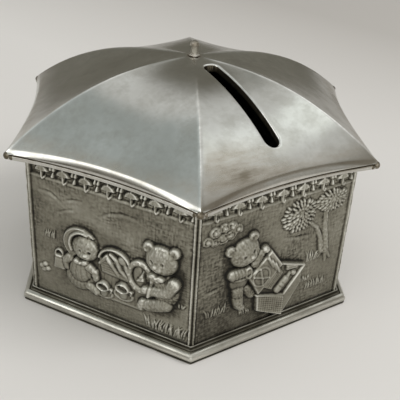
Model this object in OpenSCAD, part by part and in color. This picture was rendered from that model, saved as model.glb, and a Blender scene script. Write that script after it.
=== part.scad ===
// Hexagonal cast pewter money box: an umbrella-shaped roof with a coin slot stands on six
// relief walls, which stand on a moulded base frame. A plate closes the base, and a push-in
// stopper closes the plate's hole. Millimetres, +Z up, the origin at the middle of the foot,
// two corners on the X axis, and the slotted roof panel facing -Y.

/* [Roof] */
// Radius to the roof's corners
roof_corner_r = 57; // [56.5:0.1:58]
// Height of the roof's peak, below the ferrule
roof_peak_z = 66.2; // [66:0.1:68]
// Fall of a ridge from the peak to its corner
ridge_drop = 18.6; // [18:0.1:19.1]
// How fast a ridge steepens on its way to the corner
ridge_power = 2.4; // [2.2:0.05:2.6]
// Height of the hem's lower edge above the foot
hem_z = 46.6; // [46.2:0.1:46.6]
// How far the hem curves in between two corners
hem_scallop = 2.7; // [2.2:0.1:2.9]
// How far a roof panel sags between its two ridges
panel_sag = 0.9; // [0:0.1:1]
// Height of the rib line along each ridge
rib_rise = 0.35; // [0.1:0.05:0.6]
// Radius of the rounded rib tip at each corner
rib_tip_r = 1.1; // [1:0.1:1.3]
// Thickness of the cast roof
roof_shell = 2; // [1.8:0.1:2.2]

/* [Coin slot] */
// Width of the slot
slot_w = 4.4; // [4.3:0.1:4.6]
// Distance from the peak's axis to the slot's near end, in plan
slot_near_y = 7; // [6:0.5:8]
// Distance from the peak's axis to the slot's far end, in plan
slot_far_y = 39.5; // [37:0.5:40]

/* [Ferrule] */
// Diameter of the ferrule on the peak
ferrule_d = 2.7; // [2.4:0.1:3]
// Height of the ferrule's rounded top above the foot
ferrule_top_z = 70.4; // [70.2:0.1:71.5]

/* [Walls] */
// Radius to the walls' outer corners
wall_corner_r = 51.8; // [51.6:0.1:52]
// Thickness of a wall's plain field
wall_t = 1.5; // [1.3:0.1:1.8]
// Height of the edge ribs and frieze above the field
border_rise = 0.5; // [0.3:0.05:0.6]
// Width of the rib along each upright edge
edge_rib_w = 0.7; // [0.6:0.05:0.9]
// Height of the frieze's lower line above the foot
frieze_z = 40.8; // [40:0.1:41]

/* [Base] */
// Radius to the foot's corners
foot_corner_r = 54.9; // [54.6:0.1:55.2]
// Height of the base moulding
moulding_h = 3.9; // [3.8:0.1:4]
// Thickness of the base plate
plate_t = 1.4; // [1.2:0.1:1.4]
// Diameter of the hole that the stopper closes
outlet_d = 38; // [37:0.5:40]

/* [Stopper] */
// Gap between the stopper's plug and its hole, on the radius
plug_gap = 0.08; // [0.05:0.01:0.1]
// Diameter of the stopper's flange
flange_d = 43; // [42:0.5:45]
// How far the plug reaches above the base plate
plug_reach = 4.4; // [4:0.1:6]
// Width of the grip bar across the finger recess
grip_w = 5; // [4:0.5:7]

/* [Hidden] */
$fn = 64;

sides = 6;
side_angle = 360 / sides;
corner_to_flat = cos(side_angle / 2);
cut_margin = 1;

// How far a rib tip stands out past the roof's corner, and its middle above the hem
rib_tip_overhang = 0.2;
rib_tip_lift = 0.4;

// Grid of the roof's outer surface and of the hollow under it
roof_rings = 10;
roof_steps = 8;
hollow_rings = 7;
hollow_steps = 4;

// Levels and corner radii where the pieces meet
seat_z = hem_z + 1.2;
seat_gap = 0.15;
roof_hollow_corner_r = 48.8;
wall_foot_z = 3.4;
plate_z = wall_foot_z - plate_t;
plate_corner_r = 49.1;
ledge_corner_r = 47.5;
socket_gap = 0.02;
socket_depth = 1.2;
collar_r = ferrule_d / 2 + 0.35;
collar_h = 0.5;
collar_lift = 0.05;

// Plan of a wall
wall_face_y = wall_corner_r * corner_to_flat;
field_y = wall_face_y - border_rise;
wall_back_y = field_y - wall_t;
wall_half_w = wall_corner_r / 2;
wall_back_half_w = wall_back_y * tan(side_angle / 2);
edge_chamfer = 0.45;
line_w = 0.6;
relief_root = 0.6;
rib_root = 0.2;

// Stopper
flange_z = 0.75;
flange_gap = 0.05;
flange_t = plate_z - flange_z - flange_gap;
plug_r = outlet_d / 2 - plug_gap;
plug_wall = 2;
recess_r = 13;
recess_h = 2.8;
recess_roof_t = 1.3;
grip_root = 0.5;
plug_floor_z = flange_z + recess_h + recess_roof_t;
plug_top_z = wall_foot_z + plug_reach;

// Height of a ridge at a fraction q of the way from the peak's axis to the hem's corner
function ridge_z(q) = roof_peak_z - ridge_drop * pow(q, ridge_power);

// How far the surface at q lies under the ridge's height, midway between two ridges
function sag_at(q) = panel_sag * 4 * q * (1.25 - q) / pow(1.25, 2);

// 0 at a ridge and 1 midway between two ridges, where t runs from one ridge to the next
function midway(t) = 4 * t * (1 - t);

// Steps across a panel crowd towards its ridges
function step_t(j, steps) = (1 - cos(180 * j / steps)) / 2;

function corner(i) = [cos(side_angle * i), sin(side_angle * i)];

// How much the hem's scallop draws the outline in, as a fraction
function scallop_at(t, scallop) = 1 - scallop * midway(t) / (roof_corner_r * corner_to_flat);

// A point of the roof's surface: panel i, t across it, s out from the peak to the outline.
// The outline has its corners at corner_r. The surface is lowered by drop.
function roof_point(i, t, s, corner_r, scallop, drop, rise) =
    let (
        chord = (1 - t) * corner(i) + t * corner(i + 1),
        reach = s * scallop_at(t, scallop) * corner_r,
        q = reach / roof_corner_r,
        crest = t == 0 ? rise * min(1, 4 * s) : 0
    )
    [
        chord[0] * reach,
        chord[1] * reach,
        ridge_z(q) - sag_at(q) * midway(t) - drop + crest
    ];

// A closed solid under the roof's surface, with a flat underside at floor_z
module under_roof(corner_r, scallop, drop, rise, floor_z, rings, steps) {
    around = sides * steps;
    grid = [
        for (k = [1 : rings])
            for (i = [0 : sides - 1])
                for (j = [0 : steps - 1])
                    roof_point(i, step_t(j, steps), k / rings, corner_r, scallop, drop, rise)
    ];
    rim = [for (n = [0 : around - 1]) let (p = grid[(rings - 1) * around + n]) [p[0], p[1], floor_z]];
    peak = [0, 0, roof_peak_z - drop];
    first_rim = rings * around;
    peak_at = first_rim + around;
    underside_at = peak_at + 1;
    crown = [for (n = [0 : around - 1]) [peak_at, (n + 1) % around, n]];
    skin = [
        for (k = [0 : rings - 1])
            for (n = [0 : around - 1])
                let (
                    a = k * around + n,
                    b = k * around + (n + 1) % around,
                    c = a + around,
                    d = b + around
                )
                each [[a, b, d], [a, d, c]]
    ];
    underside = [
        for (n = [0 : around - 1])
            [underside_at, first_rim + n, first_rim + (n + 1) % around]
    ];
    polyhedron(
        points = concat(grid, rim, [peak, [0, 0, floor_z]]),
        faces = concat(crown, skin, underside)
    );
}

// An upright hexagonal prism with two corners on the X axis
module hex_prism(corner_r, low_z, high_z) {
    translate([0, 0, low_z])
        cylinder(r = corner_r, h = high_z - low_z, $fn = sides);
}

module slot_cutter() {
    low_z = hem_z - cut_margin;
    high_z = roof_peak_z + cut_margin;
    slot_r = slot_w / 2;
    translate([-slot_r, slot_r - slot_far_y, low_z])
        cube([slot_w, slot_far_y - slot_near_y - slot_w, high_z - low_z]);
    for (y = [slot_r - slot_far_y, -slot_near_y - slot_r])
        translate([0, y, low_z])
            cylinder(r = slot_r, h = high_z - low_z);
}

module canopy() {
    color("#9aa09c")
        difference() {
            union() {
                under_roof(roof_corner_r, hem_scallop, 0, rib_rise, hem_z, roof_rings, roof_steps);
                for (i = [0 : sides - 1])
                    rotate(side_angle * i)
                        translate([roof_corner_r - rib_tip_r + rib_tip_overhang, 0, hem_z + rib_tip_lift])
                            sphere(rib_tip_r);
            }
            under_roof(
                roof_hollow_corner_r, 0, roof_shell, 0, hem_z - 2 * cut_margin, hollow_rings, hollow_steps
            );
            hex_prism(wall_corner_r + seat_gap, hem_z - cut_margin, seat_z);
            slot_cutter();
            translate([0, 0, roof_peak_z - socket_depth])
                cylinder(r = ferrule_d / 2 + socket_gap, h = socket_depth + cut_margin);
        }
}

module ferrule() {
    ferrule_r = ferrule_d / 2;
    shaft_top_z = ferrule_top_z - ferrule_r;
    foot_z = roof_peak_z - socket_depth;
    color("#a5a9a4") {
        translate([0, 0, foot_z])
            cylinder(r = ferrule_r, h = shaft_top_z - foot_z);
        translate([0, 0, shaft_top_z])
            sphere(ferrule_r);
        translate([0, 0, roof_peak_z + collar_lift])
            cylinder(r = collar_r, h = collar_h);
    }
}

// A low round boss on the wall's field, centred at (x, z), h proud of it
module dome(x, z, r, h) {
    ball_r = (r * r + h * h) / (2 * h);
    translate([x, field_y, z])
        intersection() {
            translate([0, h - ball_r, 0])
                sphere(ball_r);
            translate([-2 * r, -relief_root, -2 * r])
                cube([4 * r, relief_root + h + cut_margin, 4 * r]);
        }
}

// A flat round boss
module disc(x, z, r, h) {
    translate([x, field_y - relief_root, z])
        rotate([-90, 0, 0])
            cylinder(r = r, h = relief_root + h);
}

// A flat straight bar from (x, z), w wide and long mm long, turned by angle from the upright
module bar(x, z, w, long, angle, h) {
    translate([x, field_y - relief_root, z])
        rotate([0, angle, 0])
            translate([-w / 2, 0, 0])
                cube([w, relief_root + h, long]);
}

module bear(x, z, face) {
    dome(x, z + 13.5, 4.6, 1.9);
    for (ear = [-1, 1])
        dome(x + ear * 3.9, z + 17.4, 1.6, 1.1);
    dome(x, z + 5.2, 5.2, 1.7);
    dome(x + face * 5.4, z + 7.4, 2.1, 1.3);
    dome(x + face * 5.2, z + 1.4, 2.3, 1.5);
}

module tree(x, z) {
    bar(x, z, 1.6, 15, 6, 0.8);
    dome(x + 1.8, z + 17, 5.2, 1.3);
    dome(x - 2.6, z + 14.5, 3.6, 1);
}

module cloud(x, z) {
    dome(x, z, 3, 0.9);
    dome(x + 3.4, z - 0.6, 2.4, 0.8);
    dome(x - 3.2, z - 0.7, 2.2, 0.8);
}

module grass(x, z) {
    for (lean = [-24, 0, 24])
        bar(x, z, 0.6, 3, lean, 0.5);
}

module cup(x, z) {
    disc(x, z, 3, 0.6);
    dome(x, z + 1, 1.9, 1.2);
}

// A raindrop with its point up
module raindrop(x, z, r, h) {
    disc(x, z, r, h);
    translate([x, field_y - relief_root, z])
        rotate([0, -45, 0])
            cube([r, relief_root + h, r]);
}

// Raindrops and dots by turns along the frieze
module frieze_ornament() {
    pitch = 5.3;
    middle_z = (frieze_z + hem_z) / 2;
    for (n = [-4 : 4])
        if (n % 2 == 0)
            raindrop(n * pitch, middle_z - 0.4, 1.1, border_rise);
        else
            disc(n * pitch, middle_z, 0.8, border_rise);
}

// One wall, turned to face the given direction, with its picture as children
module wall(facing, tint) {
    wall_h = seat_z - wall_foot_z;
    rib_x = wall_half_w - edge_chamfer - edge_rib_w;
    color(tint)
        rotate(facing - 90) {
            translate([0, 0, wall_foot_z])
                linear_extrude(wall_h)
                    polygon([
                        [-wall_back_half_w, wall_back_y],
                        [wall_back_half_w, wall_back_y],
                        [wall_half_w - edge_chamfer, field_y],
                        [edge_chamfer - wall_half_w, field_y]
                    ]);
            for (x = [-rib_x - edge_rib_w, rib_x])
                translate([x, field_y - rib_root, wall_foot_z])
                    cube([edge_rib_w, rib_root + border_rise, wall_h]);
            for (z = [frieze_z, seat_z - line_w])
                translate([-rib_x, field_y - relief_root, z])
                    cube([2 * rib_x, relief_root + border_rise, line_w]);
            frieze_ornament();
            children();
        }
}

// A bear leans over a hamper beside two trees
module wall_hamper() {
    wall(-90, "#7d7a6d") {
        bear(8.5, 12, -1);
        bar(-6.5, 7.5, 11, 6, -12, 1.4);
        bar(-1, 15.5, 9, 6.5, 12, 1.1);
        cloud(15.5, 33.5);
        tree(-10, 15);
        tree(-17, 17);
        for (x = [-14, -3, 14])
            grass(x, 5.5);
    }
}

// Two bears share a picnic
module wall_picnic() {
    wall(-150, "#7d7a6d") {
        bear(-13, 11, 1);
        bear(11, 9, -1);
        cup(2, 10);
        cup(-4, 8);
        disc(4.5, 17, 3.4, 1);
        dome(20, 12, 2.6, 1.2);
        for (x = [-18, 16, 20])
            grass(x, 5);
    }
}

// A bear flies a kite
module wall_kite() {
    wall(-30, "#7d7a6d") {
        bear(10, 8, -1);
        bar(-12, 24, 7, 7, 45, 0.9);
        for (z = [14, 17.5, 21])
            disc(-13 + z / 8, z, 0.8, 0.6);
        cloud(2, 34);
        for (x = [-16, -3, 18])
            grass(x, 5.5);
    }
}

// A sailing boat on a pond
module wall_boat() {
    wall(30, "#7d7a6d") {
        bar(-8, 11, 16, 3.5, 0, 1.2);
        bar(0, 13, 0.9, 19, 0, 1);
        bar(1, 17, 5, 12, -10, 0.9);
        dome(-4.5, 18.5, 3, 1.5);
        cloud(15, 33);
        for (z = [6, 8.5])
            bar(-18, z, 0.6, 36, 90, 0.4);
    }
}

// A bear on a swing under a tree
module wall_swing() {
    wall(90, "#7d7a6d") {
        bear(3, 11, 1);
        bar(-2.5, 10.5, 0.6, 25, 0, 0.6);
        bar(8.5, 10.5, 0.6, 25, 0, 0.6);
        bar(-16, 34, 1.8, 30, 90, 0.9);
        tree(-16, 9);
        for (x = [-19, 15, 19])
            grass(x, 5);
    }
}

// A bear waters a row of flowers
module wall_garden() {
    wall(150, "#7d7a6d") {
        bear(-9, 9, 1);
        disc(2, 15, 2.8, 1.2);
        for (x = [8, 13.5, 19]) {
            bar(x, 6, 0.6, 8, 0, 0.5);
            dome(x, 15, 2, 0.9);
        }
        cloud(10, 33);
        for (x = [-19, 1])
            grass(x, 5);
    }
}

// Points of a quarter round between two corners of a moulding: outward if bulge is 1, hollow if -1
function quarter(from, to, bulge, count) = [
    for (n = [0 : count])
        let (
            a = 90 * n / count,
            out = bulge > 0 ? 1 - cos(a) : sin(a),
            up = bulge > 0 ? sin(a) : 1 - cos(a)
        )
        [from[0] + (to[0] - from[0]) * out, from[1] + (to[1] - from[1]) * up]
];

// The moulding's section, from the ledge under the plate, out round the foot, the groove and
// the bead, and up the cove to the ledge that the walls stand on
module base_frame() {
    foot_h = 0.55;
    foot_ease = 0.2;
    groove_depth = 0.35;
    groove_low_z = foot_h + 0.1;
    groove_high_z = foot_h + 0.25;
    bead_low_z = foot_h + 0.6;
    bead_top = [foot_corner_r - 1.3, 2.9];
    bead_crease = 0.1;
    top_edge_h = 0.25;
    cove_top = [wall_corner_r + 0.35, moulding_h - top_edge_h];
    wall_seat_r = wall_corner_r + 0.02;
    plate_seat_r = plate_corner_r + 0.05;
    profile = concat(
        [
            [ledge_corner_r, 0],
            [foot_corner_r - foot_ease, 0],
            [foot_corner_r, foot_ease],
            [foot_corner_r, foot_h],
            [foot_corner_r - groove_depth, groove_low_z],
            [foot_corner_r - groove_depth, groove_high_z]
        ],
        quarter([foot_corner_r, bead_low_z], bead_top, 1, 6),
        quarter([bead_top[0] - bead_crease, bead_top[1] - bead_crease], cove_top, -1, 4),
        [
            [cove_top[0], moulding_h],
            [wall_seat_r, moulding_h],
            [wall_seat_r, wall_foot_z],
            [plate_seat_r, wall_foot_z],
            [plate_seat_r, plate_z],
            [ledge_corner_r, plate_z]
        ]
    );
    color("#a7a9a2")
        rotate_extrude($fn = sides)
            polygon(profile);
}

module base_plate() {
    color("#8f9089")
        difference() {
            hex_prism(plate_corner_r, plate_z, wall_foot_z);
            translate([0, 0, plate_z - cut_margin])
                cylinder(d = outlet_d, h = plate_t + 2 * cut_margin);
        }
}

module stopper() {
    flange_top_z = flange_z + flange_t;
    color("#26262a") {
        difference() {
            union() {
                translate([0, 0, flange_z])
                    cylinder(d = flange_d, h = flange_t);
                translate([0, 0, flange_top_z])
                    cylinder(r = plug_r, h = plug_top_z - flange_top_z);
            }
            translate([0, 0, plug_floor_z])
                cylinder(r = plug_r - plug_wall, h = plug_top_z - plug_floor_z + cut_margin);
            translate([0, 0, flange_z - cut_margin])
                cylinder(r = recess_r, h = recess_h + cut_margin);
        }
        intersection() {
            translate([0, 0, flange_z])
                cylinder(r = recess_r + grip_root, h = recess_h + grip_root);
            translate([-recess_r - cut_margin, -grip_w / 2, flange_z])
                cube([2 * (recess_r + cut_margin), grip_w, recess_h + grip_root]);
        }
    }
}

canopy();
ferrule();
wall_hamper();
wall_picnic();
wall_kite();
wall_boat();
wall_swing();
wall_garden();
base_frame();
base_plate();
stopper();
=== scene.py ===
import math

import bmesh
import bpy
import numpy as np
from mathutils import Matrix, Vector


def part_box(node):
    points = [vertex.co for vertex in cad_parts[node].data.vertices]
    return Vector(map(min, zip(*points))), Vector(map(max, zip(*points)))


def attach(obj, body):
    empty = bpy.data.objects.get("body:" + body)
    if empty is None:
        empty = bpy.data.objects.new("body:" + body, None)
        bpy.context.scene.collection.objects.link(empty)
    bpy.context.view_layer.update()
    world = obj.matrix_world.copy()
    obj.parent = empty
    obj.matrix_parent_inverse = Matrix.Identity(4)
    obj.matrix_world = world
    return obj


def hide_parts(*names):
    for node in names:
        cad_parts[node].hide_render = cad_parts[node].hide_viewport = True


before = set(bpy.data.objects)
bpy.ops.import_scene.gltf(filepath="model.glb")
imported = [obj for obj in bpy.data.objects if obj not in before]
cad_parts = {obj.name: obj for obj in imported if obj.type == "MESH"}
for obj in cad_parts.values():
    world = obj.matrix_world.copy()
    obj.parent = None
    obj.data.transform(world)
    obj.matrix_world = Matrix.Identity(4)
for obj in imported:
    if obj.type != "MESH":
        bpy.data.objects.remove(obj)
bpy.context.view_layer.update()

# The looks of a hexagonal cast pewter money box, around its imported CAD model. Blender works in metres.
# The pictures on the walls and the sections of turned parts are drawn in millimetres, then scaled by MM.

MM = 0.001

# ---------------------------------------------------------------- sizes, from the frame, in millimetres

SIDES = 6
SIDE_ANGLE = math.radians(360 / SIDES)
CORNER_TO_FLAT = math.cos(SIDE_ANGLE / 2)


def mm_box(node):
    low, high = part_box(node)
    return np.array(low) / MM, np.array(high) / MM


canopy_low, canopy_high = mm_box("canopy")
ferrule_low, ferrule_high = mm_box("ferrule")
wall_low, wall_high = mm_box("wall_swing")
frame_high = mm_box("base_frame")[1]
plate_low, plate_high = mm_box("base_plate")
stopper_low, stopper_high = mm_box("stopper")

# Roof: its corners, the lip round its hem, and how it falls from the peak along each ridge.
TIP_OVERHANG = 0.2
ROOF_R = canopy_high[0] - TIP_OVERHANG
LIP_BOTTOM = canopy_low[2] + 0.4
LIP_H = 1.45
PEAK_Z = ferrule_low[2] + 1.2
RIDGE_DROP, RIDGE_POWER = 18.6, 2.4
PANEL_SAG = 0.9
HEM_SCALLOP = 2.7
ROOF_SHELL = 2.0
RIB_RISE, RIB_HALF_W = 0.05, 0.5
# The coin slot: its ends are measured from the axis, and its panel is the one that faces -Y.
SLOT_W, SLOT_NEAR, SLOT_FAR = 4.4, 7.0, 39.5
SLOT_PANEL = 4
# Walls: the back face, the plain front face, and the corners of the hexagon that the fronts make.
WALL_BACK = wall_low[1]
FIELD = WALL_BACK + 1.5
WALL_BACK_HALF_W = WALL_BACK * math.tan(SIDE_ANGLE / 2)
WALL_CORNER_R = 51.8
# Base: the foot's corners, the top of its moulding, the hole and the stopper's finger recess.
FOOT_R = frame_high[0]
MOULDING_TOP = frame_high[2]
COIN_HOLE_R = 19.0
STOPPER_RECESS_R = 13.0

# ---------------------------------------------------------------- shape helpers


def smooth(t):
    t = np.clip(t, 0, 1)
    return t * t * (3 - 2 * t)


def noise(x, y, cell, seed):
    """Smooth noise from -1 to 1, from random values on a lattice that repeats every 64 cells."""
    table = np.random.default_rng(seed).uniform(-1, 1, (64, 64))
    gx, gy = x / cell + 1024, y / cell + 1024
    ix, iy = np.floor(gx).astype(int), np.floor(gy).astype(int)
    fx, fy = smooth(gx - ix), smooth(gy - iy)

    def value(dx, dy):
        return table[(iy + dy) % 64, (ix + dx) % 64]

    low = value(0, 0) * (1 - fx) + value(1, 0) * fx
    high = value(0, 1) * (1 - fx) + value(1, 1) * fx
    return low * (1 - fy) + high * fy


def blurred(h, cells):
    """A Gaussian blur, one axis at a time, that repeats the edge values outside the field."""
    reach = int(3 * cells) + 1
    kernel = np.exp(-0.5 * (np.arange(-reach, reach + 1) / cells) ** 2)
    kernel /= kernel.sum()
    for axis in (0, 1):
        pad = [(reach, reach) if a == axis else (0, 0) for a in (0, 1)]
        wide = np.pad(h, pad, mode="edge")
        count = h.shape[axis]
        h = sum(k * np.take(wide, range(n, n + count), axis=axis) for n, k in enumerate(kernel))
    return h


def flat_distance(x, y):
    """Distance from the axis in plan, measured square to the nearest side of the hexagon."""
    return np.hypot(x, y) * np.cos((np.arctan2(y, x) % SIDE_ANGLE) - SIDE_ANGLE / 2)


def shade(mesh, name, values):
    """Stores one value from -1 to 1 for each point, for the material to read."""
    layer = mesh.attributes.new(name, "FLOAT", "POINT")
    layer.data.foreach_set("value", np.clip(values, -1, 1).astype(np.float32))


def make_piece(name, verts_mm, faces, body, material, sharp):
    """A mesh piece from millimetre points. Edges that turn more than sharp degrees stay crisp."""
    mesh = bpy.data.meshes.new(name)
    mesh.from_pydata((np.asarray(verts_mm) * MM).tolist(), [], faces)
    mesh.validate()
    cleaner = bmesh.new()
    cleaner.from_mesh(mesh)
    bmesh.ops.recalc_face_normals(cleaner, faces=cleaner.faces)
    cleaner.to_mesh(mesh)
    cleaner.free()
    mesh.polygons.foreach_set("use_smooth", [True] * len(mesh.polygons))
    mesh.set_sharp_from_angle(angle=math.radians(sharp))
    mesh.materials.append(material)
    piece = bpy.data.objects.new(name, mesh)
    bpy.context.scene.collection.objects.link(piece)
    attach(piece, body)
    return piece


def quad_sheet(rows, columns, wrap_rows=False, wrap_columns=True, offset=0):
    """The quads of a grid of points kept row by row."""
    r = np.arange(rows if wrap_rows else rows - 1)[:, None]
    c = np.arange(columns if wrap_columns else columns - 1)[None, :]
    r_next, c_next = (r + 1) % rows, (c + 1) % columns
    corners = [r * columns + c, r * columns + c_next, r_next * columns + c_next, r_next * columns + c]
    shape = (r.shape[0], c.shape[1])
    return (np.stack([np.broadcast_to(k, shape).ravel() for k in corners], axis=1) + offset).tolist()


def quarter(start, end, bulge, count):
    """Points of a quarter round between two corners of a section: outward if bulge, otherwise hollow."""
    points = []
    for n in range(count + 1):
        a = math.radians(90 * n / count)
        out, up = (1 - math.cos(a), math.sin(a)) if bulge else (math.sin(a), 1 - math.cos(a))
        points.append((start[0] + (end[0] - start[0]) * out, start[1] + (end[1] - start[1]) * up))
    return points


def turned(name, section, steps, body, material, sharp):
    """A lathe piece: a section of (radius, height) points that starts and ends on its upright axis."""
    turns = np.arange(steps) * 2 * math.pi / steps
    rings = section[1:-1]
    verts = [(r * math.cos(a), r * math.sin(a), z) for r, z in rings for a in turns]
    faces = quad_sheet(len(rings), steps)
    for ring_start, (_, z) in ((0, section[0]), ((len(rings) - 1) * steps, section[-1])):
        middle = len(verts)
        verts.append((0, 0, z))
        faces += [(ring_start + n, ring_start + (n + 1) % steps, middle) for n in range(steps)]
    return make_piece(name, verts, faces, body, material, sharp)


def hexagon_ring(corner_r, rounding):
    """Plan points round a hexagon with two corners on the X axis, each corner rounded to that radius."""
    side_steps, corner_steps = 16, 5
    flat = corner_r * CORNER_TO_FLAT
    half = (flat - rounding) * math.tan(SIDE_ANGLE / 2)
    points = []
    for side in range(SIDES):
        facing = SIDE_ANGLE * (side + 0.5)
        out = np.array([math.cos(facing), math.sin(facing)])
        across = np.array([-out[1], out[0]])
        for n in range(side_steps + 1):
            points.append(out * flat + across * half * (2 * n / side_steps - 1))
        centre = out * (flat - rounding) + across * half
        for n in range(1, corner_steps):
            a = facing + SIDE_ANGLE * n / corner_steps
            points.append(centre + rounding * np.array([math.cos(a), math.sin(a)]))
    return np.array(points)


def at_height(plan, z):
    """Plan points as points at height z."""
    return np.column_stack([plan, np.full(len(plan), z)])


# ---------------------------------------------------------------- relief pictures

FACE_HALF_W = 25.45
FRIEZE_LOW = 40.8
GRID_U, GRID_V = 334, 284


def to_segment(x, y, a, b):
    """Distance to the line from a to b, and how far along it (0 to 1) the nearest point is."""
    d = b - a
    t = np.clip(((x - a[0]) * d[0] + (y - a[1]) * d[1]) / max(d @ d, 1e-12), 0, 1)
    return np.hypot(x - a[0] - t * d[0], y - a[1] - t * d[1]), t


class Relief:
    """A wall's face as heights over (u, v) in millimetres: u to the viewer's right, v up from the floor.
    The functions that draw on a face call it f."""

    def __init__(self):
        self.u = np.linspace(-FACE_HALF_W, FACE_HALF_W, GRID_U)
        self.v = np.linspace(wall_low[2], wall_high[2], GRID_V)
        self.h = np.zeros((GRID_V, GRID_U))
        # How furry each point is, and how much it is made brighter by scuffing and darker by painted shadow.
        self.fur = np.zeros_like(self.h)
        self.scuffs_and_shadows = np.zeros_like(self.h)
        # Painted shade: what the whole wall's brightness gains, everywhere and for each millimetre across and
        # up, standing in for how the light falls on it.
        self.painted_shading = (0.0, 0.0, 0.003)

    def window(self, u0, u1, v0, v1):
        """The part of the grid inside those limits, and the (u, v) of its points."""
        i0, i1 = np.searchsorted(self.u, (u0, u1))
        j0, j1 = np.searchsorted(self.v, (v0, v1))
        u, v = np.meshgrid(self.u[i0:i1], self.v[j0:j1])
        return (slice(j0, j1), slice(i0, i1)), u, v

    def raise_to(self, part, inside, height, fur=0.0):
        """Raises what is lower than height, and gives it fur or takes it away."""
        higher = inside & (height > self.h[part])
        self.fur[part] = np.where(higher, fur, self.fur[part])
        self.h[part] = np.where(higher, height, self.h[part])

    def oval(self, u, v, ru, rv, turn):
        """The window round an ellipse, and a value of 1 at its middle that falls to 0 at its edge."""
        r = max(ru, rv) * 1.05
        part, x, y = self.window(u - r, u + r, v - r, v + r)
        c, s = math.cos(math.radians(turn)), math.sin(math.radians(turn))
        dx, dy = x - u, y - v
        return part, 1 - ((dx * c + dy * s) / ru) ** 2 - ((dy * c - dx * s) / rv) ** 2

    def ball(self, u, v, ru, rv, rise, base=0.0, turn=0.0, fur=0.0):
        """A lump shaped like part of an ellipsoid, standing at base."""
        part, k = self.oval(u, v, ru, rv, turn)
        self.raise_to(part, k > 0, base + rise * np.sqrt(np.clip(k, 0, 1)), fur)

    def swell(self, u, v, ru, rv, rise, turn=0.0, power=0.75):
        """Adds a soft lump, or with a negative rise sinks a dimple, on what is there."""
        part, k = self.oval(u, v, ru, rv, turn)
        self.h[part] += rise * np.clip(k, 0, 1) ** power

    def along(self, path, reach):
        """The window round a path, the distance to it, and how far along it (0 to 1) the nearest point is."""
        p = np.array(path, float)
        low, high = p.min(axis=0) - reach, p.max(axis=0) + reach
        part, x, y = self.window(low[0], high[0], low[1], high[1])
        best, where = np.full(x.shape, 1e9), np.zeros(x.shape)
        for n, (a, b) in enumerate(zip(p[:-1], p[1:])):
            dist, t = to_segment(x, y, a, b)
            where = np.where(dist < best, (n + t) / (len(p) - 1), where)
            best = np.minimum(dist, best)
        return part, best, where

    def limb(self, path, radii, rise, base=0.0, fur=0.0):
        """A round bar along a path, with its radius running between the given radii."""
        reach = max(radii)
        part, dist, where = self.along(path, reach * 1.05)
        r = np.interp(where, np.linspace(0, 1, len(radii)), radii)
        k = 1 - (dist / r) ** 2
        self.raise_to(part, k > 0, base + rise * (r / reach) * np.sqrt(np.clip(k, 0, 1)), fur)

    def line(self, path, width, rise, taper=0.0):
        """A fine raised line, or with a negative rise a groove, on what is there. Taper fades its ends."""
        part, dist, where = self.along(path, 2.5 * width)
        fade = np.clip(4 * where * (1 - where), 0, 1) ** taper
        self.h[part] += rise * fade * np.exp(-((dist / width) ** 2))

    def scuff_and_shadow_streak(self, path, width, amount):
        """A streak that is scuffed brighter along a path, or with a negative amount a painted shadow that
        leaves it darker.
        """
        part, dist, where = self.along(path, 2 * width)
        self.scuffs_and_shadows[part] += amount * smooth(1.5 - dist / width)

    def slab(self, points, rise, edge=0.35, base=0.0, slope=(0.0, 0.0), crown=0.0):
        """A flat piece with a polygon outline and rounded edges. Slope is its tilt along u and v."""
        p = np.array(points, float)
        low, high = p.min(axis=0), p.max(axis=0)
        part, x, y = self.window(low[0], high[0], low[1], high[1])
        dist, odd = np.full(x.shape, 1e9), np.zeros(x.shape, bool)
        for a, b in zip(p, np.roll(p, -1, axis=0)):
            dist = np.minimum(dist, to_segment(x, y, a, b)[0])
            if a[1] != b[1]:
                crossing = (a[1] > y) != (b[1] > y)
                odd ^= crossing & (x < (b[0] - a[0]) * (y - a[1]) / (b[1] - a[1]) + a[0])
        mid = p.mean(axis=0)
        tilt = slope[0] * (x - mid[0]) + slope[1] * (y - mid[1])
        shoulder = np.sqrt(1 - (1 - np.clip(dist / edge, 0, 1)) ** 2)
        self.raise_to(part, odd, base + (rise + tilt) * shoulder + crown * smooth(dist / 3))

    def ring(self, u, v, ru, rv, width, rise, base=0.0, turn=0.0):
        """A round bar bent into an ellipse."""
        part, k = self.oval(u, v, ru + width, rv + width, turn)
        mean = (ru + rv) / 2 + width
        d = (np.sqrt(np.clip(1 - k, 0, None)) - (mean - width) / mean) * mean
        bump = 1 - (d / width) ** 2
        self.raise_to(part, bump > 0, base + rise * np.sqrt(np.clip(bump, 0, 1)))

    def finish(self):
        """Adds the frieze, the borders and the fur, then softens every step into a slope."""
        frieze(self)
        borders(self)
        u, v = np.meshgrid(self.u, self.v)
        hair = 0.7 * noise(u + 0.2 * v, v * 0.7, 0.3, 21) + 0.3 * noise(u, v, 0.6, 22)
        self.h = blurred(self.h + 0.19 * self.fur * hair, 0.65)

    def patina_and_shade(self):
        """How bright each point is: 0 in a dark hollow and 1 on a bright high spot, with painted shade added
        on top.
        """
        near = self.h - blurred(self.h, 2)
        wide = self.h - blurred(self.h, 11)
        # Painted shade: slopes that face up are made lighter and those that face down darker, as if lit from
        # above.
        painted_top_light = -np.gradient(blurred(self.h, 1), self.v, axis=0)
        lightness = 0.47 + 1.9 * near + 0.22 * wide + 0.05 * self.h + 0.07 * np.clip(painted_top_light, -1.5, 1.5)
        # Painted shade: the wall's overall and sloping lightness, and its streaks, are added here.
        level, across, upward = self.painted_shading
        lightness += self.scuffs_and_shadows + level + across * self.u + upward * (self.v[:, None] - 25)
        return np.clip(lightness, 0, 1)


def arc(u, v, ru, rv, a0, a1, count=14):
    """Points along an ellipse round (u, v), from angle a0 to a1 in degrees."""
    turns = np.radians(np.linspace(a0, a1, count))
    return [(u + ru * math.cos(t), v + rv * math.sin(t)) for t in turns]


def drop(f, u, v, r):
    """A raindrop, with its point up."""
    f.limb([(u, v), (u + 0.1, v + 2.2 * r)], [r, 0.16], 0.7, -0.1)


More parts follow.
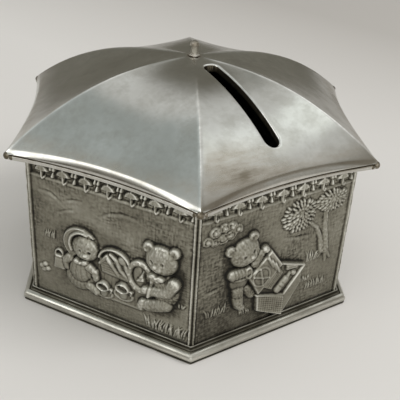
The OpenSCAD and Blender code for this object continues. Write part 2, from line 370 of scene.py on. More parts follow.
def umbrella(f, u, v, r):
    """A small open umbrella: a dome with a scalloped hem, its tip, and a crook handle."""
    f.slab(arc(u, v - 0.1, r, r, 0, 180, 16), 0.6, 0.45, -0.05, crown=0.2)
    for n in (-1, 0, 1):
        f.swell(u + n * r / 1.5, v - 0.15, 0.3 * r, 0.42, -0.75, power=0.5)
    for lean in (-1, 1):
        seam = [(u, v + 0.9 * r), (u + 0.24 * lean * r, v + 0.6 * r), (u + lean * r / 3, v + 0.4)]
        f.line(seam, 0.15, -0.12)
    f.limb([(u, v + 0.8 * r), (u, v + 1.25 * r)], [0.26, 0.2], 0.7, -0.1)
    crook = [(u, v + 0.4), (u, v - 0.7 * r), (u + 0.42, v - 0.95 * r), (u + 0.9, v - 0.65 * r)]
    f.limb(crook, [0.3], 0.75, -0.1)


def frieze(f):
    """Raindrops and small umbrellas by turns, raised on a band that darkens round them."""
    part, u, v = f.window(-25, 25, FRIEZE_LOW + 0.3, wall_high[2])
    sunk = smooth((v - FRIEZE_LOW - 0.3) / 0.4) * smooth((24.6 - abs(u)) / 0.2)
    stroke = np.sin(u * 2 * math.pi / 0.75 + 0.8 * np.sin(v * 1.7)) * noise(u, v, 2.4, 8)
    f.h[part] += sunk * (-0.42 + 0.12 * stroke)
    spacing, level = 6.9, 42.75
    for n in range(-3, 4):
        umbrella(f, spacing * n, level, 2.05)
        for du, dv in ((2.95, 1.25), (3.95, 1.25), (3.45, -0.75)):
            drop(f, spacing * n + du, level + dv, 0.5)


def borders(f):
    """A raised rib up each side, and a line under the frieze."""
    part, u, v = f.window(-26, 26, 3, 48)
    for edge in (-1, 1):
        d = (edge * u - 25.08) / 0.37
        f.h[part] += 0.5 * np.sqrt(np.clip(1 - np.clip(d, -1, 1) ** 4, 0, 1)) * (abs(d) < 1)
        f.h[part] -= 0.1 * np.exp(-(((edge * u - 24.4) / 0.3) ** 2))
    f.line([(-24.7, FRIEZE_LOW), (24.7, FRIEZE_LOW)], 0.24, 0.16)


def ground(f, seed, horizon):
    """The plain ground's texture, and the lines of the hills on it."""
    part, u, v = f.window(-26, 26, 3, 48)
    cloth = noise(u, v * 0.3, 0.4, seed + 1) + noise(u * 0.35, v, 0.42, seed + 3)
    patchy = 0.5 + 0.5 * noise(u, v, 7, seed + 4)
    weave = np.sin(u * 2 * math.pi / 0.62) * np.sin(v * 2 * math.pi / 0.62)
    f.h[part] += 0.03 * noise(u, v, 1.1, seed) + 0.05 * noise(u, v, 5.5, seed + 2)
    f.h[part] += 0.12 * patchy * cloth + 0.1 * (1 - patchy) * weave
    for path in horizon:
        f.line(path, 0.5, 0.17, taper=0.6)
        f.line([(a + 0.2, b + 0.75) for a, b in path], 0.35, -0.2, taper=0.6)


def bear_head(f, u, v, r, look=(0.0, 0.0), rise=2.1, base=0.0, tilt=0.0, ears=(-1, 1)):
    """A teddy's head that looks towards look, each part from -1 to 1, and leans over by tilt degrees."""
    lx, ly = look[0] * r, look[1] * r
    c, s = math.cos(math.radians(tilt)), math.sin(math.radians(tilt))

    def at(du, dv):
        return u + c * du - s * dv, v + s * du + c * dv

    for side in ears:
        a = math.radians(90 - side * 50)
        du, dv = 1.06 * r * math.cos(a), 1.02 * r * math.sin(a)
        f.ball(*at(du, dv), 0.35 * r, 0.35 * r, 0.6 * rise, base, fur=1)
        f.swell(*at(du - 0.03 * lx, dv - 0.02 * r), 0.2 * r, 0.2 * r, -0.4)
    f.ball(u, v, r, 0.93 * r, rise, base, turn=tilt, fur=1)
    f.swell(*at(0.3 * lx, 0.25 * r), 0.6 * r, 0.45 * r, 0.16, tilt)
    mu, mv = 0.45 * lx, 0.35 * ly - 0.3 * r
    for side in (-1, 1):
        f.swell(*at(mu + side * 0.42 * r, mv - 0.04 * r), 0.4 * r, 0.34 * r, 0.14, tilt)
    f.swell(*at(mu, mv), 0.4 * r, 0.33 * r, 0.62, tilt)
    nose = at(mu + 0.1 * lx, mv + 0.14 * r)
    f.swell(*nose, 0.26 * r, 0.2 * r, -0.2, tilt)
    f.swell(*nose, 0.17 * r, 0.12 * r, 0.5, tilt)
    low_u, low_v = mu + 0.08 * lx, mv - 0.1 * r
    f.line([at(low_u, low_v + 0.12 * r), at(low_u, low_v)], 0.17, -0.38)
    mouth = [(-0.17, -0.02), (0, 0), (0.17, -0.02)]
    f.line([at(low_u + du * r, low_v + dv * r) for du, dv in mouth], 0.17, -0.34)
    for side in (-1, 1):
        eye = at(0.32 * lx + side * 0.33 * r, 0.05 * r + 0.3 * ly)
        f.swell(*eye, 0.2 * r, 0.2 * r, 0.16)
        f.swell(*eye, 0.13 * r, 0.14 * r, -0.7)
        f.swell(*eye, 0.05 * r, 0.06 * r, 0.25)


def tuft(f, u, v, width, tall, count, seed):
    """Blades of grass, each with a dark line beside it."""
    rng = np.random.default_rng(seed)
    for n in range(count):
        spread = (n + 0.5) / count - 0.5
        foot = u + width * spread + rng.uniform(-0.2, 0.2)
        lean = rng.uniform(-0.35, 0.45) + 0.5 * spread
        size = tall * rng.uniform(0.55, 1)
        tip = (foot + lean * size, v + size)
        bend = (foot + 0.3 * lean * size, v + 0.55 * size)
        f.line([(foot + 0.28, v), (tip[0] + 0.28, tip[1] - 0.2)], 0.2, -0.16)
        f.limb([(foot, v), bend, tip], [0.2, 0.26, 0.07], 0.5)


def leafy_crown(f, u, v, ru, rv, count, seed):
    """A tree's crown: plump leaves that point out from its upper middle, overlapping like scales."""
    rng = np.random.default_rng(seed)
    f.ball(u, v, ru * 0.9, rv * 0.88, 0.5)
    for share in np.linspace(1, 0.12, 5):
        number = max(4, round(count * share))
        for n in range(number):
            a = 2 * math.pi * (n + rng.uniform(-0.25, 0.25)) / number + share * 5
            reach = share * rng.uniform(0.93, 1.06)
            tip = np.array([u + ru * reach * math.cos(a), v + rv * reach * math.sin(a)])
            out = tip - (u, v + 0.25 * rv)
            out = out / math.hypot(*out) + rng.uniform(-0.2, 0.2, 2)
            middle = tip - 0.75 * out
            turn = math.degrees(math.atan2(out[1], out[0]))
            base = 0.12 + 0.6 * (1 - share * share)
            f.swell(*middle, 1.35, 0.8, -0.16, turn)
            f.ball(*middle, rng.uniform(0.85, 1.1), 0.46, 0.62, base, turn)


def puff_cloud(f, u, v, size):
    """A cloud of curled puffs."""
    puffs = (
        (-1.45, -0.3, 0.5), (1.5, 0.15, 0.5), (-0.75, 0.4, 0.6), (0.85, 0.6, 0.5), (0, -0.35, 0.62),
        (-0.75, -0.55, 0.45), (0.8, -0.25, 0.55), (0.1, 0.6, 0.52),
    )
    for n, (du, dv, r) in enumerate(puffs):
        at = (u + du * size, v + dv * size)
        f.ball(*at, r * size, r * size * 0.88, 0.85 + 0.15 * dv, fur=1.2)
        f.line(arc(*at, 0.55 * r * size, 0.5 * r * size, 47 * n, 47 * n + 230, 10), 0.24, -0.4)


def cup_and_saucer(f, u, v, size=1.0):
    """A cup on its saucer; (u, v) is the middle of the cup's mouth."""
    f.ball(u, v - 2.3 * size, 3 * size, 1.75 * size, 0.55)
    f.ring(u, v - 2.3 * size, 2.75 * size, 1.5 * size, 0.3, 0.28, 0.45)
    f.swell(u, v - 2.3 * size, 2.2 * size, 1.1 * size, -0.2)
    handle = [(u + 2 * size, v - 0.2), (u + 2.75 * size, v - 0.5), (u + 2.4 * size, v - 1.5)]
    f.limb(handle, [0.3], 0.9, 0.3)
    f.limb([(u, v - 0.1), (u, v - 2.5 * size)], [2 * size, 1.15 * size], 1.35, 0.25)
    f.ball(u, v, 2.15 * size, 1.35 * size, 0.5, 1.05)
    f.swell(u, v - 0.02, 1.7 * size, 1.02 * size, -1.25, power=0.35)
    f.ring(u, v, 1.85 * size, 1.12 * size, 0.24, 0.3, 1.3)


def bear(f, u, v, r, look, arms, legs, jumper=True):
    """A whole teddy: its body's middle, its head's radius, where it looks, and its limbs as paths from
    that middle."""
    for path in legs:
        p = [(u + a, v + b) for a, b in path]
        f.limb(p, [0.46 * r, 0.42 * r, 0.38 * r][: len(p)], 1.5, 0.15, fur=1)
        f.ball(*p[-1], 0.46 * r, 0.4 * r, 1.3, 0.45, fur=1)
    f.ball(u, v, 0.86 * r, 1.08 * r, 1.65, 0.15, fur=0 if jumper else 1)
    if jumper:
        for n in range(5):
            low = v - 0.75 * r + 0.38 * r * n
            f.line([(u - 0.7 * r, low + 0.25), (u, low), (u + 0.7 * r, low + 0.25)], 0.17, -0.12)
        f.line([(u - 0.75 * r, v - 0.72 * r), (u, v - 0.86 * r), (u + 0.75 * r, v - 0.72 * r)], 0.3, 0.22)
    else:
        f.swell(u, v - 0.1 * r, 0.5 * r, 0.62 * r, 0.18)
    for path in arms:
        p = [(u + a, v + b) for a, b in path]
        f.limb(p, [0.4 * r, 0.36 * r, 0.3 * r][: len(p)], 1.35, 0.75, fur=1)
        f.ball(*p[-1], 0.34 * r, 0.32 * r, 1.25, 0.95, fur=1)
    bear_head(f, u + 0.12 * r * look[0], v + 1.78 * r, r, look, 2, 0.5)


def bow(f, u, v, size, base, turn=0.0):
    """A ribbon bow: two loops and a knot."""
    c, s = math.cos(math.radians(turn)), math.sin(math.radians(turn))
    for side in (-1, 1):
        f.ball(u + side * size * c, v + side * size * s, size, 0.66 * size, 0.6, base, turn=turn + side * 16)
    f.ball(u, v, 0.42 * size, 0.42 * size, 0.5, base + 0.35)


def flower(f, u, v, tall, r):
    """A flower with six petals, on a stalk with two leaves that stands on (u, v)."""
    f.limb([(u, v), (u + 0.3, v + tall * 0.5), (u, v + tall)], [0.26, 0.24, 0.22], 0.5)
    for side, at in ((-1, 0.3), (1, 0.48)):
        f.ball(u + side * 1, v + tall * at, 1.05, 0.42, 0.5, 0.05, turn=side * 35)
        f.line([(u + side * 0.3, v + tall * at), (u + side * 1.7, v + tall * at + 0.5)], 0.12, -0.14)
    for n in range(6):
        a = math.pi * n / 3 + 0.3
        petal = (u + 0.72 * r * math.cos(a), v + tall + 0.72 * r * math.sin(a))
        f.ball(*petal, 0.52 * r, 0.38 * r, 0.7, 0.25, math.degrees(a))
    f.ball(u, v + tall, 0.4 * r, 0.4 * r, 0.65, 0.75)


def scene_picnic(f):
    """Two bears at a picnic on a rug."""
    # Painted shade: this wall slightly darker overall and towards the top, and lighter towards the right.
    f.painted_shading = (-0.02, 0.002, -0.002)
    ground(f, 3, [
        [(-22.7, 36.6), (-18.3, 36.3), (-13.5, 33.6)],
        [(-16.5, 30.9), (-13.5, 32.5), (-10.3, 33.5)],
        [(-14.3, 35.1), (-11.4, 36.2), (-8.1, 36.6)],
        [(-3.7, 33.6), (0.4, 35.8), (4, 36.8), (9.3, 36.6)],
    ])
    f.scuff_and_shadow_streak([(-27, 38.6), (-18, 36.2), (-10, 34), (-1, 32.6)], 2.2, 0.11)
    f.scuff_and_shadow_streak([(-6, 31.6), (6, 30.6)], 1.6, 0.07)
    # Painted shadows down the right-hand bear's right side and leg, and beside its head.
    f.scuff_and_shadow_streak([(21.4, 24.5), (21.4, 18.5), (19, 12.6), (15.5, 11.4)], 2.4, -0.24)
    f.scuff_and_shadow_streak([(20.8, 30), (19.2, 26.6)], 1.4, -0.12)
    for grass in ((-19, 22.8, 3.4, 3, 7, 1), (17.9, 4.7, 11.4, 4.4, 24, 2), (22.2, 14.8, 1.8, 1.4, 4, 4)):
        tuft(f, *grass)
    # the rug, with its near edge turned up
    f.slab([(-5.6, 8.9), (10.8, 9.1), (14.5, 13.6), (9.5, 25), (-2.6, 25.2), (-7, 18)], 0.32, 0.3)
    f.line([(-4.6, 9.6), (10.3, 9.8), (13.6, 13.8)], 0.24, 0.22)
    for n in range(6):
        f.line([(-4.5 + 2.6 * n, 10), (-2.5 + 2.1 * n, 24.4)], 0.16, -0.1)
    # an open basket under its rumpled cloth
    f.slab([(-1.9, 17.6), (6.6, 17.2), (7.8, 22.4), (-2.8, 22.8)], 1, 0.8)
    for n in range(6):
        f.line([(-2, 18.1 + 0.75 * n), (6.9, 17.8 + 0.75 * n)], 0.16, -0.14)
    f.ball(4.9, 23.6, 1.7, 1.4, 1.25, 0.3)
    for fold in (
        [(-2.4, 20.6), (0, 23.4), (1.6, 21.4), (3.6, 18.6)],
        [(1, 24.4), (3.4, 23), (4.4, 20.6), (6.6, 18.4)],
        [(5.2, 23.6), (6.4, 21.4), (7.4, 18.6)],
    ):
        f.limb(fold, [0.5, 0.85, 0.5], 1.15, 0.5)
        f.line([(a + 0.5, b + 0.55) for a, b in fold], 0.22, -0.2)
    f.limb(arc(2.4, 21.8, 4.9, 4.4, 12, 168, 16), [0.42], 0.7, 0.75)
    # left-hand bear, seated, in a bonnet and a full dress
    f.limb([(-12, 18.9), (-13.6, 17.4), (-13.2, 15.4)], [1.5, 1.3, 1.1], 1.4, 0.2, fur=1)
    f.ball(-9.2, 12.9, 4.6, 3.9, 1.3, 0.1, fur=0.6)
    f.ball(-8.7, 15.7, 3.7, 4, 1.75, 0.25, fur=0.5)
    for n in range(4):
        pleat = [(-10.6 + 1.3 * n, 18.4), (-11.3 + 1.7 * n, 15.6), (-11.2 + 1.8 * n, 13.2)]
        f.line(pleat, 0.3, -0.16, taper=0.5)
    for n in range(6):
        spread = n - 2.5
        f.line([(-9 + 0.9 * spread, 13.4), (-9.3 + 1.5 * spread, 9.6)], 0.26, -0.14, taper=0.4)
    f.line(arc(-8.8, 15.2, 3.4, 3, 200, 330, 12), 0.3, -0.22)
    f.limb([(-5.8, 11.6), (-3.6, 10.3)], [1.5, 1.2], 1.3, 0.2, fur=1)
    f.limb([(-5.9, 18.2), (-4, 16.9), (-3.6, 15)], [1.4, 1.2, 1.05], 1.4, 0.5, fur=1)
    f.ball(-8.6, 24.3, 5.6, 5.2, 0.9)
    for n, (r, rise) in enumerate(((5.25, 0.45), (4.75, 0.42), (4.3, 0.4), (3.85, 0.3))):
        fold = arc(-8.4 + 0.15 * n, 24.1, r, 0.93 * r, 40 + 7 * n, 240, 22)
        f.limb(fold, [0.2, 0.4, 0.3], rise, 0.75 + 0.05 * n)
    bear_head(f, -7, 23.6, 4.1, (0.5, -0.4), 1.8, 0.5, ears=())
    f.limb(arc(-7.6, 24.3, 3.9, 4, 66, 212, 18), [0.3, 0.5, 0.38], 0.8, 1.25)
    for side in (-1, 1):
        f.ball(-7.9 + 1.15 * side, 19.3 + 0.1 * side, 1.2, 0.8, 0.8, 1.6, turn=side * 20)
    f.ball(-7.9, 19.3, 0.55, 0.55, 0.65, 2)
    # a bag beside it
    f.limb(arc(-16, 18, 1.35, 1.9, -10, 190, 12), [0.28], 0.7)
    f.slab([(-17.9, 13.6), (-13.9, 13.7), (-14.6, 18.4), (-17.3, 18.4)], 1.1, 0.8, crown=0.2)
    f.line([(-17.3, 17.5), (-14.6, 17.5)], 0.2, -0.25)
    for u, v in ((-22.4, 12.2), (-21.2, 13), (-20.4, 11.7), (-21.6, 11.2)):
        f.ball(u, v, 0.95, 0.8, 0.7)
    # right-hand bear, with a round tray
    f.ball(19.5, 16.6, 1.15, 1, 0.9, fur=1)
    f.ball(17.7, 19.2, 4.1, 5.3, 1.7, turn=-8, fur=1)
    f.limb([(17.8, 14.6), (14.6, 13), (12.4, 12.4)], [2.25, 2.05, 1.9], 1.75, 0.25, fur=1)
    f.ball(10.9, 12.1, 1.35, 2.15, 1.55, 0.45, turn=-14, fur=1)
    f.swell(10.6, 12, 0.75, 1.35, -0.22)
    f.ring(10.4, 20.6, 3.35, 4.35, 0.85, 0.8, 0.55, turn=8)
    f.swell(10.4, 20.6, 2.5, 3.5, 0.5, turn=8, power=0.3)
    for a in np.radians(range(0, 360, 30)):
        f.swell(10.4 + 3.35 * math.cos(a), 20.6 + 4.35 * math.sin(a), 0.42, 0.42, 0.22)
    f.slab([(8.9, 19), (11.9, 19.6), (11.2, 22.8)], 1.2, 0.5, 0.3)
    f.line([(9.4, 20.3), (11.7, 20.9)], 0.16, -0.2)
    f.limb([(20.4, 22.2), (18.6, 19), (13.4, 17.7)], [1.85, 1.75, 1.5], 1.5, 1, fur=1)
    f.limb([(13.9, 19.1), (13.5, 16.5)], [0.52], 0.7, 2)
    f.ball(12.3, 17.7, 1.35, 1.25, 1.3, 1.1, fur=1)
    f.limb([(16, 22.4), (13.6, 22.7)], [1.15, 0.95], 1.1, 1.2, fur=1)
    bear_head(f, 16.4, 28, 4.65, (-0.42, -0.3), 2, 0.45, tilt=3)
    for side in (-1, 1):
        f.ball(15.6 + 1.2 * side, 23.1 - 0.1 * side, 1.2, 0.8, 0.8, 1.75, turn=-side * 18)
    f.ball(15.6, 23.1, 0.55, 0.55, 0.7, 2.1)
    cup_and_saucer(f, -1.3, 13.3)
    cup_and_saucer(f, 4.9, 14.9, 1.05)


def scene_hamper(f):
    """A bear that opens a hamper beside two trees."""
    # Painted shade: this wall darker overall and darkest low down, and lighter towards the top and the right.
    f.painted_shading = (-0.05, 0.003, 0.005)
    # Painted shadow down the bear's left side.
    f.scuff_and_shadow_streak([(-15.6, 27), (-14.8, 22.6), (-12.8, 16)], 1.5, -0.14)
    ground(f, 13, [[(-22.5, 18.6), (-17, 19.4)], [(2, 28.6), (7, 27.4), (12.4, 26.8)]])
    puff_cloud(f, -18, 36.3, 3.1)
    # two trees whose trunks meet at the ground
    f.limb([(16.4, 35), (17.1, 28), (18, 21)], [0.8, 0.9, 1.4], 1, fur=1)
    f.limb([(9.3, 33), (13.8, 29.3), (15.6, 25.6), (16.8, 21)], [0.5, 0.65, 0.8, 1.2], 0.9, fur=1)
    for path in ([(17.6, 21.6), (20.6, 17.4)], [(17, 21.6), (16, 18.8)], [(18.2, 21.4), (19, 16.6)]):
        f.limb(path, [1.1, 0.4], 0.7)
    for n in range(5):
        f.line([(16.1 + 0.35 * n, 33.5), (16.7 + 0.4 * n, 26), (17.2 + 0.4 * n, 20.5)], 0.13, -0.14)
    leafy_crown(f, 6.9, 34.9, 5.8, 4.9, 26, 5)
    leafy_crown(f, 17.9, 36.9, 5.5, 3.4, 24, 6)
    for grass in (
        (13.3, 18.4, 3.6, 4, 7, 7), (16.2, 8.6, 7, 3.4, 11, 8), (12, 11.8, 3, 2, 5, 9),
        (-18.6, 11.2, 6.4, 3.4, 8, 10), (-8.8, 8, 3.2, 2, 5, 11),
    ):
        tuft(f, *grass)
    # bear that leans over the hamper
    f.limb([(-8.9, 16.6), (-7.2, 14.2)], [1.5, 1.25], 1, 0.1, fur=1)
    f.ball(-12, 20.3, 3, 3, 1.5, 0.2)
    f.line([(-14.6, 21.4), (-9.6, 21.2)], 0.3, 0.3)
    f.limb([(-12.3, 17.9), (-12, 14.8), (-11.5, 12.6)], [1.95, 1.8, 1.6], 1.75, 0.3, fur=1)
    f.ball(-10.9, 11.6, 1.6, 1.15, 1.3, 0.45, turn=-28, fur=1)
    f.line([(-13.8, 15.6), (-10.2, 15.4)], 0.22, -0.18)
    f.limb([(-7.4, 24.6), (-5.2, 27.3)], [1.5, 1.25], 1.3, 0.35, fur=1)
    f.ball(-4.3, 28.2, 1.3, 1.25, 1.5, 0.45, fur=1)
    for turn in (-0.55, 0, 0.55):
        f.line([(-4.3 + turn, 28.9), (-4.2 + 1.3 * turn, 29.3)], 0.12, -0.2)
    f.limb([(-14.2, 23), (-9.9, 22.9)], [1.75, 1.65], 1.5, 0.5, fur=0.6)
    for n in range(5):
        f.line([(-14.2 + 1.05 * n, 24.8), (-13.9 + 1.05 * n, 21.4)], 0.2, -0.14)
    f.ring(-9.7, 22.8, 0.85, 1.6, 0.4, 0.7, 1.2)
    bear_head(f, -10.8, 29, 4.6, (0.42, -0.4), 1.75, 0.35, tilt=21)
    # the hamper: lid, inside, near wall and side wall
    lid = [(-9.6, 20.9), (-5.7, 14.1), (2, 21.8), (-2.3, 27.6)]
    f.slab(lid, 1.15, 0.4, 0.55)
    f.line(lid + lid[:1], 0.28, 0.25)
    f.ring(-5.3, 20.1, 2.75, 2.95, 0.36, 0.4, 1.6)
    f.swell(-5.3, 20.1, 2.3, 2.5, 0.25, power=0.3)
    f.line([(-8, 20.9), (-2.7, 19.2)], 0.26, 0.42)
    f.line([(-6, 22.8), (-4.7, 17.4)], 0.26, 0.42)
    for du in (-0.2, 1.1, 2.4):
        f.line([(-3 + du, 25.3 - du), (-1 + du, 21.8 - du)], 0.5, -0.2)
        f.limb([(-3.4 + du, 25.4 - du), (-1.4 + du, 21.9 - du)], [0.5, 0.26], 0.8, 1.6)
    inside = [(-5.9, 13.7), (3.6, 10.8), (10.2, 18.7), (2, 21.7)]
    f.slab(inside, 0.8, 0.4)
    f.slab([(-3.6, 15.2), (-0.8, 13.6), (3, 18.4), (1.4, 21)], 1, 0.7, 0.35)
    for n in range(4):
        f.line([(-2.9 + 0.8 * n, 15), (-0.4 + 0.75 * n, 18.2), (0.9 + 0.45 * n, 20.2)], 0.22, -0.24)
    f.limb([(1.3, 13.2), (3.9, 16)], [1.25, 1.2], 1.3, 0.6)
    f.limb([(3.9, 16), (5.3, 17.5)], [0.75, 0.5], 0.9, 0.8)
    f.line([(1.6, 14.6), (2.9, 13.5)], 0.2, -0.22)
    f.line([(2.5, 15.5), (3.8, 14.4)], 0.2, -0.22)
    f.ball(6.5, 17.2, 1.05, 1, 1, 0.7)
    f.slab([(3.6, 18.9), (7.4, 18.6), (8.5, 19.8), (3.4, 20.9)], 1.5, 0.5, 0.2)
    f.line([(3.8, 19.7), (8, 19.3)], 0.18, -0.24)
    f.slab([(3.62, 3.9), (10.5, 12.3), (10.25, 18.6), (3.62, 10.7)], 1, 0.25, 0.1, slope=(-0.17, 0))
    f.slab([(-5.5, 8.3), (3.66, 3.8), (3.66, 10.6), (-6, 13.9)], 1.5, 0.25, 0.3, slope=(0.05, 0))
    for n in range(1, 9):
        t = n / 9
        f.line([(-5.6, 8.3 + 5.5 * t), (3.5, 3.9 + 6.7 * t)], 0.15, -0.2)
    for n in range(1, 12):
        t = n / 12
        u = -5.6 + 9.1 * t
        f.line([(u, 8.7 - 4.6 * t), (u, 13.4 - 3 * t)], 0.13, -0.14)
    for n in range(1, 7):
        t = n / 7
        f.line([(3.8, 3.9 + 6.8 * t), (10.3, 12.4 + 6.2 * t)], 0.15, -0.14)
    for path in (inside[:2], inside[1:3], inside[2:]):
        f.limb(path, [0.36], 0.45, 1.2)


def scene_kite(f):
    """A bear that flies a kite, and a smaller one that watches."""
    ground(f, 23, [
        [(-24, 21), (-17, 23.6), (-9, 22.6)],
        [(2, 19.6), (10, 21.8), (18, 20.4), (24, 18.8)],
        [(-12, 26.6), (-6, 27.8), (0, 26.8)],
    ])
    puff_cloud(f, -15.6, 36.2, 2.9)
    puff_cloud(f, 1.6, 33.2, 1.9)
    # kite, its line and its tail
    top, right, low, left = (15.6, 38.8), (19.8, 33.2), (12.6, 27.6), (10.4, 35.4)
    f.slab([top, right, low, left], 0.95, 0.7, 0.1)
    f.line([top, low], 0.2, 0.28)
    f.line([left, right], 0.2, 0.28)
    for a, b in ((top, right), (right, low), (low, left), (left, top)):
        f.line([a, b], 0.2, 0.2)
    tail = [(12.6, 27.6), (14.6, 25.6), (14.2, 23), (17.2, 21.6), (20.2, 23), (22.2, 21)]
    f.limb(tail, [0.2], 0.4)
    for u, v, turn in ((14.5, 24.6, 70), (15.8, 22, -30), (19.2, 22.6, 30), (22, 21.2, -50)):
        bow(f, u, v, 0.8, 0.1, turn)
    f.limb([(-3.2, 22.2), (3.5, 25.6), (9, 30.2), (13.4, 33.6)], [0.15], 0.4)
    # bear that holds the line, and a smaller one that watches
    bear(
        f, -8.4, 15.6, 4.3, (0.5, 0.35),
        [[(2.6, 1.6), (4.4, 4.2), (5.2, 6.4)], [(-2.9, 1.6), (-4.9, -0.6), (-4.2, -3)]],
        [[(-1.7, -3.2), (-2.4, -6), (-2.9, -8.3)], [(1.7, -3.2), (2.6, -5.8), (4.2, -7.4)]],
    )
    bow(f, -8.2, 20, 1.15, 1.9, 0)
    bear(
        f, 9.6, 10.6, 3.2, (-0.3, 0.45),
        [[(-2, 0.9), (-3.7, 2.2), (-4.3, 4.2)], [(2, 0.9), (3.5, -0.4), (3.4, -2)]],
        [[(-1.2, -2.4), (-3.6, -3.6)], [(1.4, -2.4), (3.9, -3.8)]],
        jumper=False,
    )
    for grass in (
        (-20.5, 6.2, 5.4, 3.6, 9, 31), (1, 5, 3.6, 2.4, 6, 32), (19.6, 6.4, 6.6, 3.8, 11, 33),
        (-22, 17.6, 2.6, 2.4, 5, 34),
    ):
        tuft(f, *grass)


def scene_boat(f):
    """Two bears in a sailing boat."""
    ground(f, 33, [[(-24, 24.8), (-16.5, 26.6), (-10, 25.2)], [(12, 25.4), (18, 27.2), (24, 26)]])
    puff_cloud(f, 15.6, 36, 2.7)
    puff_cloud(f, -17.6, 34.4, 2.2)
    for row, (v, shift) in enumerate(((4.9, 0), (6.9, 1.5), (8.9, 0.4), (11, 2), (13.2, 0.9))):
        for n in range(-8, 8):
            u = n * 3.6 + shift
            if abs(u) < 22.6:
                f.line(arc(u, v, 1.7, 0.8 - 0.06 * row, 200, 340, 8), 0.2, 0.26)
    # sails, mast and pennant
    f.slab([(0.4, 36.8), (1.2, 18.9), (12.6, 18.9), (9.6, 26)], 0.8, 0.8, 0.1, crown=0.5)
    f.slab([(-0.9, 34.4), (-1, 19.1), (-8.6, 19.1), (-6, 24.6)], 0.75, 0.8, 0.1, crown=0.45)
    for n in range(1, 5):
        f.line([(1.2, 18.9 + 3.4 * n), (11.9 - 2.3 * n, 19.4 + 3.2 * n)], 0.15, -0.14)
    f.limb([(0, 14.5), (0, 38.6)], [0.5, 0.34], 1.1, 0.2)
    f.slab([(0.2, 38.4), (4.4, 37.4), (0.2, 36.6)], 0.7, 0.4, 0.1)
    # crew
    bear(f, -7.6, 16.9, 2.9, (0.4, 0.1), [[(1.8, 0.6), (3.4, 0.4), (4.6, 1.6)]], [])
    bear(
        f, 7.4, 16.9, 3, (-0.4, -0.1),
        [[(-1.9, 0.6), (-3.3, -0.4), (-3.6, -1.4)], [(2, 0.8), (3.7, 2.2), (4.5, 4)]], [],
    )
    # hull and its planks
    hull = [(-15.4, 15.8), (-11.4, 8), (11.2, 8), (16.4, 16.6), (0.5, 14.6)]
    f.slab(hull, 1.9, 1.5, 0.35, crown=0.3)
    for n in range(1, 4):
        plank = [(-15 + 1 * n, 15.4 - 1.8 * n), (0.5, 14.2 - 1.6 * n), (15.9 - 1.3 * n, 16 - 2 * n)]
        f.line(plank, 0.17, -0.22)
    f.limb([(-15.4, 15.9), (0.5, 14.7), (16.4, 16.7)], [0.5], 0.7, 1.7)
    for n in range(-2, 3):
        f.ring(4.6 * n, 12.2 + 0.09 * n * n, 0.62, 0.62, 0.2, 0.3, 2.2)
    for u in (-11, -7.4, -3.8, -0.2, 3.4, 7, 10.6):
        f.limb(arc(u, 7.9, 1.8, 1, 195, 345, 8), [0.3], 0.5, 0.5)
    # reeds and a pair of ducks
    for n, (u, tall) in enumerate(((-22.4, 14), (-20.9, 17), (-19.4, 12.6))):
        f.limb([(u, 5), (u + 0.5, 5 + 0.6 * tall), (u + 0.2, 5 + tall)], [0.28, 0.24, 0.16], 0.6, 0.1)
        f.limb([(u + 0.2, 5 + tall), (u + 0.2, 8 + tall)], [0.6], 0.9, 0.1)
    for u, v, s in ((19.2, 9.2, 1), (20.6, 17, 0.75)):
        f.ball(u, v, 3 * s, 1.7 * s, 1.2, 0.2)
        f.ball(u - 2.2 * s, v + 1.9 * s, 1.25 * s, 1.15 * s, 1.2, 0.3)
        f.limb([(u - 3.2 * s, v + 1.8 * s), (u - 4.4 * s, v + 1.6 * s)], [0.34 * s, 0.22 * s], 0.5, 0.5)
        f.line(arc(u + 0.6 * s, v, 1.5 * s, 0.8 * s, 150, 350), 0.2, -0.25)
        f.swell(u - 2.5 * s, v + 2.2 * s, 0.25, 0.25, -0.3)


